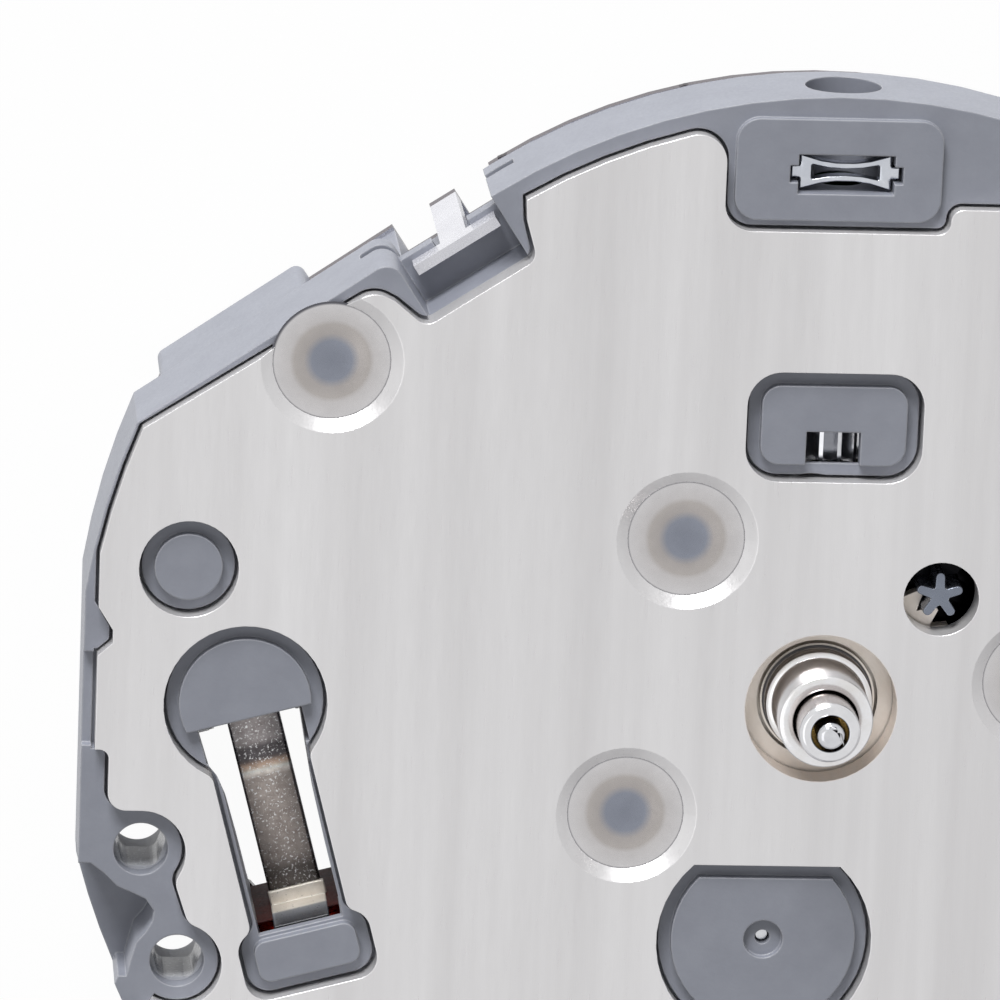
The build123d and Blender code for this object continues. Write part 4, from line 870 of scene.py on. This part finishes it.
# Polyimide film, cast: clear amber and glossy
AMBER_FILM = Finish("polyimide_film", "#C98A2B", "#E8D8B8", 0.0, 0.22, 0.04, 0.8, 0.3, 0.1, 0.0004, ior=1.7)
# Steel strip, nickel plated and drawn: bright with faint scuffs
DRAWN_STEEL = Finish("drawn_nickel_steel", "#CBCCCE", "#E6E6E8", 1.0, 0.24, 0.07, 0.9, 0.5, 0.03, 0.0008)
# Stainless sheet, stamped: bright faces, and painted shade on its upright edges low down under the frame
SHEARED_STEEL = SidedFinish(
    "sheared_stainless_sheet", "#CBCBD0", "#E6E6E9", 1.0, 0.26, 0.07, 0.9, 0.5, 0.03, 0.0008, side="#41363F",
    upright=0.3, top=-2.98
)
# The cover's lugs, painted dark: painted shade where they stand past the wall under the frame
SHADED_COVER_LUG = Finish("stainless_lug_painted_shade", "#3A3238", "#D8D8DC", 0.6, 0.4, 0.08, 0.3, 0.6, 0.03, 0.001)
# Spring steel strip, hardened: darker, slightly blue
SPRING_STEEL = Finish("spring_steel_strip", "#C9CCD2", "#DADCE2", 1.0, 0.22, 0.06, 0.5, 0.5, 0.02, 0.0006)
# Rare-earth magnet, sintered and plated: dull grey
SINTERED_MAGNET = Finish("sintered_magnet", "#8F9096", "#D8D8DC", 1.0, 0.35, 0.08, 0.2, 0.6, 0.03, 0.0015)
# Tinned strip, folded over the coil's end, coloured by height: a painted highlight, cream, on top, painted
# shade grey-blue down its face and darkening to near black up under the frame, and painted highlights on its
# edges
TINNED_STRIP = BandedFinish(
    "tinned_copper_strip", "#CFCFCC", "#E4E2DC", 0.3, 0.34, 0.08, 0.2, 0.5, 0.04, 0.001,
    edge=0.4, edge_width=0.02,
    bands=(
        (-2.2, "#7F8796"), (-1.66, "#8A8880"), (-1.60, "#FFF8EE"), (-1.30, "#FFF8EE"), (-1.24, "#8E949E"),
        (-1.0, "#4E525C"), (-0.76, "#202228"),
    ),
)


@dataclass
class DialSide:
    """The main plate and the pillars riveted into it.

    Attributes:
        shank: Radius of a pillar.
        feet: Level of each pillar's foot.
        chamfer: Size of the foot's chamfer.
        neck: Radius of a pillar in the plate's hole.
        seat: Level of the plate's underside.
        skin: Dish of a pillar's head, from its rim inwards.
    """

    shank: float = 0.38
    feet: tuple[float, ...] = (-2.55, -2.55, -2.55, -1.45)
    chamfer: float = 0.03
    neck: float = 0.455
    seat: float = -0.42
    skin: tuple[Point, ...] = (
        (0.735, -0.1195), (0.735, -0.113), (0.725, -0.1105), (0.70, -0.112), (0.64, -0.114),
        (0.56, -0.1165), (0.47, -0.119), (0.41, -0.124), (0.34, -0.133), (0.26, -0.142),
        (0.16, -0.149), (0.07, -0.152), (0.0, -0.1525),
    )

    def pillar(self, number: int, place: Point) -> Object:
        """Turn one pillar.

        Args:
            number: The pillar's number.
            place: Where it stands.

        Returns:
            The pillar.
        """
        low = self.feet[number]
        profile = (
            (0.0, low), (self.shank - self.chamfer, low), (self.shank, low + self.chamfer),
            (self.shank, self.seat), (self.neck, self.seat), (self.neck, self.skin[0][1]),
        )
        return turned(f"pillar_{number}", profile + self.skin, place)

    def build(self) -> None:
        """Make the plate and its pillars."""
        carried("main_plate", SATIN_NICKEL)
        pillars = [self.pillar(number, place) for number, place in enumerate(PILLARS)]
        settle(joined("bridge_pillars_turned", pillars), "bridge_pillars", DISHED_STEEL)


@dataclass
class FrameBody:
    """The moulded frame and the grips moulded in its dial-foot holes.

    Attributes:
        feet: Places of the dial-foot holes.
        hole: Radius of a hole.
        grip: Reach of the corners of a grip's opening.
        grip_corners: How many there are, and how many points round each.
        grip_corner: Rounding of those corners.
        grip_top: Level of a grip's top.
        grip_depth: Height of a grip.
        bay: Outline of the bay between two of the feet.
        bay_span: Level of its floor, and one above the frame.
        window: Outline of the window over the core's leg, along it and to its left.
        window_span: A level below the cover, and one above the frame.
        sight: How far the window leans while it goes through the frame, along and to the left.
        pocket: The hollow under the window's lip where the coil starts, as leg_block takes it.
    """

    feet: tuple[Point, ...] = ((-8.187, -1.966), (-7.710, -3.384), (8.187, 1.966), (7.710, 3.384))
    hole: float = 0.33
    grip: float = 0.345
    grip_corners: int = 5
    grip_corner: float = 0.13
    grip_top: float = -0.40
    grip_depth: float = 0.75
    bay: tuple[Point, ...] = (
        (-9.5, -3.592), (-8.318, -3.592), (-8.267, -3.371), (-8.212, -3.164), (-8.097, -3.025),
        (-8.02, -2.883), (-8.006, -2.75), (-8.109, -2.603), (-8.277, -2.523), (-8.454, -2.449),
        (-8.624, -2.279), (-8.71, -2.217), (-8.787, -2.155), (-9.5, -2.155),
    )
    bay_span: Point = (-1.08, 0.3)
    window: tuple[Point, ...] = (
        (-0.43, -0.65), (0.03, -0.63), (0.18, -0.56), (0.44, -0.515), (0.97, -0.50), (1.58, -0.495),
        (1.716, -0.324), (1.87, 0.39), (1.59, 0.519), (0.58, 0.541), (0.13, 0.583), (-0.43, 0.63),
    )
    window_span: Point = (-3.20, -0.22)
    sight: Point = (0.96, -0.09)
    pocket: tuple[float, ...] = (2.27, 2.85, -0.53, 0.50, -1.10, -0.34)

    def grips(self) -> Object:
        """Grow a five-sided grip in every hole.

        Returns:
            The grips as one piece.
        """
        lengths = {
            "Hole": self.hole, "Reach": self.grip, "Corner": self.grip_corner, "Depth": self.grip_depth,
        }
        tree, sizes = new_tree("dial_foot_grips", {name: length * MM for name, length in lengths.items()})
        outer = circle(tree, ROUND, sizes["Hole"])
        corners = {"Curve": circle(tree, self.grip_corners, sizes["Reach"]), "Radius": sizes["Corner"]}
        opening = add_node(tree, "GeometryNodeFilletCurve", corners, mode="POLY")
        opening.inputs["Count"].default_value = self.grip_corners
        turn = {"Geometry": opening.outputs[0], "Rotation": (0.0, 0.0, math.radians(90.0))}
        inner = add_node(tree, "GeometryNodeTransform", turn).outputs[0]
        both = add_node(tree, "GeometryNodeJoinGeometry")
        for curve in (outer, inner):
            tree.links.new(curve, both.inputs[0])
        ring = add_node(tree, "GeometryNodeFillCurve", {"Curve": both.outputs[0]}, mode="NGONS").outputs[0]
        rise = {
            "Mesh": lowered(tree, ring, sizes["Depth"], 1.0), "Offset": (0.0, 0.0, 1.0),
            "Offset Scale": sizes["Depth"], "Individual": False,
        }
        grip = add_node(tree, "GeometryNodeExtrudeMesh", rise).outputs[0]
        end_tree(tree, sizes, placed(tree, sizes, grip))
        return grown("dial_foot_grips", tree, PALE_RESIN, [(x, y, self.grip_top) for x, y in self.feet])

    def window_cut(self) -> Object:
        """Stand what the window takes out of the frame and of the cover under it.

        Returns:
            The cutter.
        """
        low = on_leg(*self.sight)
        drift = (low[0] - LEG_START[0], low[1] - LEG_START[1])
        return prism("window_cut", [on_leg(*corner) for corner in self.window], *self.window_span, drift)

    def build(self) -> None:
        """Make the frame and its grips."""
        bay = prism("bay_cut", self.bay, *self.bay_span)
        carved("base_frame", MOULDED_RESIN, (bay, self.window_cut(), leg_block("coil_cut", self.pocket)))
        settle(self.grips(), "base_frame", PALE_RESIN, replace=False)


@dataclass
class HandWork:
    """The three hand posts and the centre wheel that drives them.

    Attributes:
        tube_lip: Rounding of the minute tube's lip.
        arbor_lip: Rounding of the seconds arbor's end.
        web: Radius inside which the turned hub stands for the hour wheel.
        hub: Half section of that hub, as a closed loop.
        hub_steps: Facets round the hub.
    """

    tube_lip: float = 0.021
    arbor_lip: float = 0.03
    web: float = 0.745
    hub: tuple[Point, ...] = (
        (0.395, -0.628), (0.70, -0.628), (0.70, -0.448), (0.655, -0.448), (0.655, -0.235), (0.645, -0.22),
        (0.585, -0.22), (0.575, -0.21), (0.575, 0.53), (0.56, 0.553), (0.55, 0.56), (0.42, 0.56),
        (0.40, 0.55), (0.395, 0.53), (0.395, -0.628),
    )
    hub_steps: int = 96

    def hour(self) -> None:
        """Make the hour wheel: its toothed web, and its turned hub."""
        form = merged("hour_wheel")
        inner = [
            face for face in form.faces
            if all(math.hypot(corner.co.x, corner.co.y) < self.web * MM for corner in face.verts)
        ]
        bmesh.ops.delete(form, geom=inner, context="FACES")
        settle(stand("hour_wheel_web", form), "hour_wheel", THIN_PLATED_BRASS)
        hub = turned("hour_wheel_hub", self.hub, (0.0, 0.0), self.hub_steps)
        settle(hub, "hour_wheel", PLATED_BRASS, False)

    def build(self) -> None:
        """Make the posts."""
        self.hour()
        dressed("cannon_pinion", POLISHED_TUBE, self.tube_lip, 3)
        dressed("seconds_arbor", POLISHED_STEEL, self.arbor_lip, 3)
        carried("centre_wheel", STAMPED_BRASS)


@dataclass
class MotionWork:
    """The minute wheel with its star pinion, and the setting wheel.

    Attributes:
        edge: Rounding of the wheel's edges.
        star_edge: Rounding of the star's edges.
        centre: Place of the minute wheel's axis.
        arms: Arms of the star.
        arm: Half the width of an arm, and the rounding of its tip.
        reach: Where an arm's tip starts to round.
        root: Radius that the arms stand on.
        roots: Bearings of the points between an arm and the next, in degrees from the arm.
        span: Levels of the star's foot and top.
    """

    edge: float = 0.018
    star_edge: float = 0.0126
    centre: Point = spot(1.98, 45.2)
    arms: int = 5
    arm: float = 0.055
    reach: float = 0.235
    root: float = 0.12
    roots: tuple[float, ...] = (30.0, 36.0, 42.0)
    span: tuple[float, float] = (-0.70, -0.138)

    def star(self) -> Object:
        """Make the star pinion with its five rounded arms.

        Returns:
            The star.
        """
        outline: list[Point] = []
        for number in range(self.arms):
            bearing = 90.0 + 360.0 * number / self.arms
            tip = spot(self.reach, bearing, self.centre)
            outline += [spot(self.arm, bearing + turn, tip) for turn in range(-90, 91, 20)]
            outline += [spot(self.root, bearing + turn, self.centre) for turn in self.roots]
        star = prism("star_pinion", outline, *self.span)
        soften(star, self.star_edge)
        return star

    def build(self) -> None:
        """Make the wheels."""
        dressed("minute_wheel", BLACKENED_STEEL, self.edge, 3)
        settle(self.star(), "minute_wheel", PINION_STEEL, False)
        carried("setting_wheel", STAMPED_BRASS)


@dataclass
class Screws:
    """Slotted screw heads, seen from the back.

    Attributes:
        name: The piece's name.
        places: Where they stand, with the level of the face that their heads hang from.
        radius: Radius of a head.
        height: Height of a head.
        slot: Width of the slot, which is half as deep as the head.
        cutter: Length of what cuts the slot, in radii.
        edge: Rounding of a head's edges.
    """

    name: str
    places: tuple[tuple[float, float, float], ...]
    radius: float
    height: float
    slot: float
    cutter: float = 3.0
    edge: float = 0.006

    def grow(self) -> Object:
        """Grow the screws.

        Returns:
            The screws as one piece.
        """
        lengths = {"Radius": self.radius, "Height": self.height, "Slot": self.slot}
        tree, sizes = new_tree(self.name, {name: length * MM for name, length in lengths.items()})
        disc = {"Vertices": ROUND, "Radius": sizes["Radius"], "Depth": sizes["Height"]}
        head = add_node(tree, "GeometryNodeMeshCylinder", disc).outputs[0]
        box = {"X": self.cutter * self.radius * MM, "Y": sizes["Slot"], "Z": sizes["Height"]}
        size = add_node(tree, "ShaderNodeCombineXYZ", box).outputs[0]
        cutter = add_node(tree, "GeometryNodeMeshCube", {"Size": size}).outputs[0]
        parts = {"Mesh 1": head, "Mesh 2": lowered(tree, cutter, sizes["Height"], 0.5)}
        cut = add_node(tree, "GeometryNodeMeshBoolean", parts, operation="DIFFERENCE").outputs[0]
        end_tree(tree, sizes, placed(tree, sizes, lowered(tree, cut, sizes["Height"], 0.5)))
        piece = grown(self.name, tree, POLISHED_STEEL, self.places)
        soften(piece, self.edge)
        piece.modifiers[0].use_clamp_overlap = True
        return piece


@dataclass
class Train:
    """The going train's wheels under their bridge.

    Attributes:
        edge: Rounding of the bridge's stamped edges.
        seat: Level of the bridge's lower face, which its screws hold.
        screw: Radius, height and slot of a screw's head.
    """

    edge: float = 0.02
    seat: float = -2.85
    screw: tuple[float, ...] = (0.36, 0.12, 0.12)

    def build(self) -> None:
        """Make the train."""
        for node in ("seconds_wheel", "third_wheel", "fifth_wheel"):
            carried(node, ACETAL)
        dressed("train_bridge", PLATED_BRIDGE, self.edge)
        places = tuple((x, y, self.seat) for x, y in PILLARS[:3])
        screws = Screws("bridge_screws", places, *self.screw).grow()
        settle(screws, "train_bridge", POLISHED_STEEL, False)


@dataclass
class Motor:
    """The stepping motor: rotor, stator, core and coil.

    Attributes:
        level: Level of the coil's axis.
        start: Where the winding starts along the leg.
        length: Length of the winding.
        radius: Outer radius of the winding.
        bore: Radius of its bore.
        turns: Turns in its outer layer, drawn coarser than the real wire so that they show.
        sink: How far the wires sink into the body, in their radii.
        body_steps: Facets round the body.
        strip: The tinned strip over the leg, as leg_block takes it.
        cheek: The same of the cheek behind it.
        stop: The same of the flange that the winding starts against.
        strip_edge: Rounding of the strip's edges.
        core_edge: Rounding of the core's edges.
        stator_edge: Rounding of the stator's edges.
    """

    level: float = -1.85
    start: float = 2.45
    length: float = 2.60
    radius: float = 0.80
    bore: float = 0.40
    turns: float = 44.0
    sink: float = 1.4
    body_steps: int = 48
    strip: tuple[float, ...] = (2.24, 2.43, -0.34, 0.37, -1.64, -1.58)
    cheek: tuple[float, ...] = (2.42, 2.47, -0.345, 0.355, -2.06, -0.76)
    stop: tuple[float, ...] = (2.43, 2.445, -0.66, 0.66, -2.55, -1.09)
    strip_edge: float = 0.02
    core_edge: float = 0.035
    stator_edge: float = 0.025

    def collar(self) -> Object:
        """Lay the tinned strip over the leg and against the coil's cheek.

        Returns:
            The strip and the cheek as one piece.
        """
        parts = [leg_block("collar_part", extent) for extent in (self.strip, self.cheek)]
        collar = joined("coil_collar_folded", parts)
        soften(collar, self.strip_edge)
        return collar

    def lie(self) -> Matrix:
        """Find the place of the winding's start, with Z along the leg, in metres.

        Returns:
            The place.
        """
        x, y = spot(self.start, LEG_BEARING, LEG_START)
        along = Matrix.Rotation(math.radians(90.0), 4, "Y")
        turn = Matrix.Rotation(math.radians(LEG_BEARING), 4, "Z") @ along
        return Matrix.Translation((x * MM, y * MM, self.level * MM)) @ turn

    def winding(self) -> Object:
        """Wind the coil's outer layer over its body.

        Returns:
            The winding.
        """
        wire = self.length / self.turns / 2
        lengths = {"Radius": self.radius - wire, "Length": self.length - 2 * wire, "Wire": wire}
        tree, sizes = new_tree(
            "coil_winding_turns",
            {"Turns": self.turns - 1, **{name: length * MM for name, length in lengths.items()}},
        )
        coil = {
            "Resolution": ROUND, "Rotations": sizes["Turns"], "Start Radius": sizes["Radius"],
            "End Radius": sizes["Radius"], "Height": sizes["Length"],
        }
        helix = add_node(tree, "GeometryNodeCurveSpiral", coil).outputs[0]
        sweep = {"Curve": helix, "Profile Curve": circle(tree, WIRE_ROUND, sizes["Wire"]), "Fill Caps": True}
        end_tree(tree, sizes, add_node(tree, "GeometryNodeCurveToMesh", sweep).outputs[0])
        lift = self.lie() @ Matrix.Translation((0.0, 0.0, wire * MM))
        layer = grown("coil_winding_wires", tree, ENAMELLED_COPPER, (), lift)
        inner = self.radius - self.sink * wire
        ring = ((self.bore, 0.0), (inner, 0.0), (inner, self.length), (self.bore, self.length))
        body = turned("coil_winding_body", ring + ring[:1], (0.0, 0.0), self.body_steps)
        body.data.transform(self.lie())
        return joined("coil_winding_wound", (layer, body))

    def build(self) -> None:
        """Make the motor."""
        carried("rotor_pinion", POLISHED_STEEL)
        carried("rotor_magnet", SINTERED_MAGNET)
        dressed("stator", ANNEALED_IRON, self.stator_edge)
        dressed("coil_core", ANNEALED_LEG, self.core_edge)
        settle(self.winding(), "coil_winding", ENAMELLED_COPPER)
        settle(self.collar(), "coil_collar", TINNED_STRIP)
        settle(leg_block("coil_flange", self.stop), "coil_collar", SHADED_ENAMEL, False)
        carried("coil_terminals", FIBRE_BOARD)


@dataclass
class Keyless:
    """The clutch, its levers and the stem's clip.

    Attributes:
        edge: Rounding of the clip's edges.
    """

    edge: float = 0.02

    def build(self) -> None:
        """Make the keyless work."""
        carried("clutch_wheel", POLISHED_STEEL)
        dressed("stem_clip", SPRING_STEEL, self.edge, 3)
        for node in ("setting_lever", "yoke", "reset_lever"):
            carried(node, SPRING_STEEL)
        carried("keyless_plate", DRAWN_STEEL)


@dataclass
class Circuit:
    """The board with its chip and crystal, and the film over them.

    Attributes:
        can_edge: Rounding of the crystal's can.
    """

    can_edge: float = 0.05

    def build(self) -> None:
        """Make the circuit."""
        carried("circuit_board", FIBRE_BOARD)
        carried("circuit_chip", BLACK_RESIN)
        dressed("quartz_crystal", DRAWN_STEEL, self.can_edge, 3)
        carried("insulator_sheet", AMBER_FILM)


@dataclass
class Power:
    """The cell between its contact and its clamp.

    Attributes:
        foot: Place of the clamp's screw.
        seat: Level of the clamp's lower face.
        screw: Radius, height and slot of the screw's head.
        cell_edge: Rounding of the cell's can.
        clamp_edge: Rounding of the clamp's edges.
    """

    foot: Point = (1.80, -5.75)
    seat: float = -3.08
    screw: tuple[float, ...] = (0.40, 0.05, 0.13)
    cell_edge: float = 0.06
    clamp_edge: float = 0.015

    def build(self) -> None:
        """Make the cell and what holds it."""
        dressed("battery_cell", DRAWN_STEEL, self.cell_edge, 3)
        carried("battery_contact", SPRING_STEEL)
        dressed("battery_clamp", SPRING_STEEL, self.clamp_edge)
        screw = Screws("clamp_screw", ((*self.foot, self.seat),), *self.screw).grow()
        settle(screw, "battery_clamp", POLISHED_STEEL, False)


@dataclass
class BackCover:
    """The back cover with its side hooks.

    Attributes:
        lugs: Outlines of two lugs that stand past the wall.
        levels: Levels of their lower and upper faces.
    """

    lugs: tuple[tuple[Point, ...], ...] = (
        (
            (-3.945, 6.061), (-3.929, 5.986), (-3.70, 6.02), (-3.2, 6.20), (-2.8, 6.40), (-2.714, 6.603),
            (-2.896, 6.549), (-3.065, 6.482), (-3.318, 6.376), (-3.522, 6.259), (-3.679, 6.185),
        ),
        (
            (-2.231, 6.814), (-2.20, 6.60), (-1.30, 6.80), (-1.253, 6.948), (-1.317, 6.997),
            (-1.504, 7.043), (-1.687, 7.026), (-1.929, 6.933),
        ),
    )
    levels: tuple[float, float] = (-3.13, -3.02)

    def build(self) -> None:
        """Make the cover and its lugs."""
        lugs = [prism("cover_lug", outline, *self.levels) for outline in self.lugs]
        settle(joined("cover_lugs", lugs), "back_cover", SHADED_COVER_LUG, False)
        carved("back_cover", SHEARED_STEEL, (FrameBody().window_cut(),))


@dataclass
class Studio:
    """The floor, the lamps and the camera at the photograph's angle.

    Attributes:
        tilt: Lean of the camera from straight above, in degrees.
        lean_bearing: Which way it leans, in degrees from image up.
        roll: Turn of the picture, in degrees.
        distance: Camera to the hand axis, in millimetres.
        aside: Hand axis from the picture's centre, right and up, in millimetres.
        lens: Lens on the 36 millimetre sensor.
        floor_level: Height of the floor, in millimetres.
        floor_size: Side of the floor, in metres.
        floor_glow: How much of the floor's own light the camera sees, from 0 to 1.
        surround: Strength of the even surround.
        lamps: Name, place and side in metres, and power in watts of each lamp.
    """

    tilt: float = 16.0
    lean_bearing: float = 15.0
    roll: float = 1.64
    distance: float = 103.03
    aside: Point = (3.891, -2.531)
    lens: float = 306.0
    floor_level: float = -3.16
    floor_size: float = 1.2
    floor_glow: float = 0.96
    surround: float = 0.25
    lamps: tuple[tuple[str, tuple[float, float, float], float, float], ...] = (
        ("key", (-0.12, 0.43, 0.20), 0.22, 3.1),
        ("fill", (-0.30, -0.10, 0.40), 0.40, 0.3),
    )

    def camera(self) -> Object:
        """Make the camera and look through it.

        Returns:
            The camera.
        """
        turn = Matrix.Rotation(-math.radians(self.roll), 3, "Z")
        bearing = math.radians(self.lean_bearing)
        hinge = Vector((math.cos(bearing), math.sin(bearing), 0.0))
        view = Matrix.Rotation(math.radians(self.tilt), 3, hinge) @ turn
        data = bpy.data.cameras.new("camera")
        data.lens = self.lens
        data.sensor_width = 36.0
        data.clip_start = 0.001
        data.clip_end = 10.0
        camera = linked("camera", data)
        back = view.transposed()
        place = back @ Vector((-self.aside[0], -self.aside[1], self.distance))
        camera.matrix_world = Matrix.Translation(place * MM) @ back.to_4x4()
        bpy.context.scene.camera = camera
        return camera

    def seen(self, tree: Tree) -> Socket:
        """Tell what the camera, a gloss or a glass sees from what only lights the movement.

        Args:
            tree: The node tree.

        Returns:
            A socket that is 1 where it is seen.
        """
        path = add_node(tree, "ShaderNodeLightPath").outputs
        gloss = reckon(tree, "MAXIMUM", path["Is Camera Ray"], path["Is Glossy Ray"])
        return reckon(tree, "MAXIMUM", gloss, path["Is Transmission Ray"])

    def floor(self) -> Object:
        """Make the pale floor, which shows white to the camera but keeps the shadow.

        Returns:
            The floor.
        """
        bpy.ops.mesh.primitive_plane_add(size=self.floor_size, location=(0, 0, self.floor_level * MM))
        floor = bpy.context.object
        floor.name = "floor"
        material = bpy.data.materials.new("pale_floor")
        material.use_nodes = True
        tree = material.node_tree
        tree.nodes.clear()
        paint = add_node(tree, "ShaderNodeBsdfDiffuse", {"Color": linear("#F4F4F4")})
        glow = add_node(tree, "ShaderNodeEmission", {"Color": WHITE, "Strength": 1.0})
        share = reckon(tree, "MULTIPLY", self.seen(tree), self.floor_glow)
        mixed = add_node(tree, "ShaderNodeMixShader", {0: share, 1: paint.outputs[0], 2: glow.outputs[0]})
        add_node(tree, "ShaderNodeOutputMaterial", {"Surface": mixed.outputs[0]})
        floor.data.materials.append(material)
        return floor

    def lamp(self, name: str, place: Sequence[float], size: float, power: float) -> Object:
        """Make a soft square lamp that points at the movement.

        Args:
            name: The lamp's name.
            place: Where it hangs, in metres.
            size: Its side, in metres.
            power: Its power in watts.

        Returns:
            The lamp.
        """
        data = bpy.data.lights.new(name, "AREA")
        data.shape = "SQUARE"
        data.size = size
        data.energy = power
        lamp = linked(name, data)
        lamp.location = place
        lamp.rotation_euler = (-Vector(place)).to_track_quat("-Z", "Y").to_euler()
        return lamp

    def world(self) -> None:
        """Make the even white surround."""
        world = bpy.data.worlds.new("surround")
        world.use_nodes = True
        tree = world.node_tree
        tree.nodes.clear()
        power = mapped(tree, self.seen(tree), (0.0, 1.0), (self.surround, 1.0))
        glow = add_node(tree, "ShaderNodeBackground", {"Color": WHITE, "Strength": power})
        add_node(tree, "ShaderNodeOutputWorld", {"Surface": glow.outputs[0]})
        bpy.context.scene.world = world

    def build(self) -> None:
        """Set up the studio."""
        self.camera()
        self.floor()
        self.world()
        for name, place, size, power in self.lamps:
            self.lamp(name, place, size, power)
        bpy.context.scene.view_settings.view_transform = "Standard"


def main() -> None:
    """Build the studio and dress each part in turn."""
    Studio().build()
    parts = (
        DialSide(), FrameBody(), HandWork(), MotionWork(), Train(), Motor(), Keyless(), Circuit(),
        Power(), BackCover(),
    )
    for part in parts:
        log.info("building %s", type(part).__name__)
        part.build()


if __name__ == "__main__":
    main()
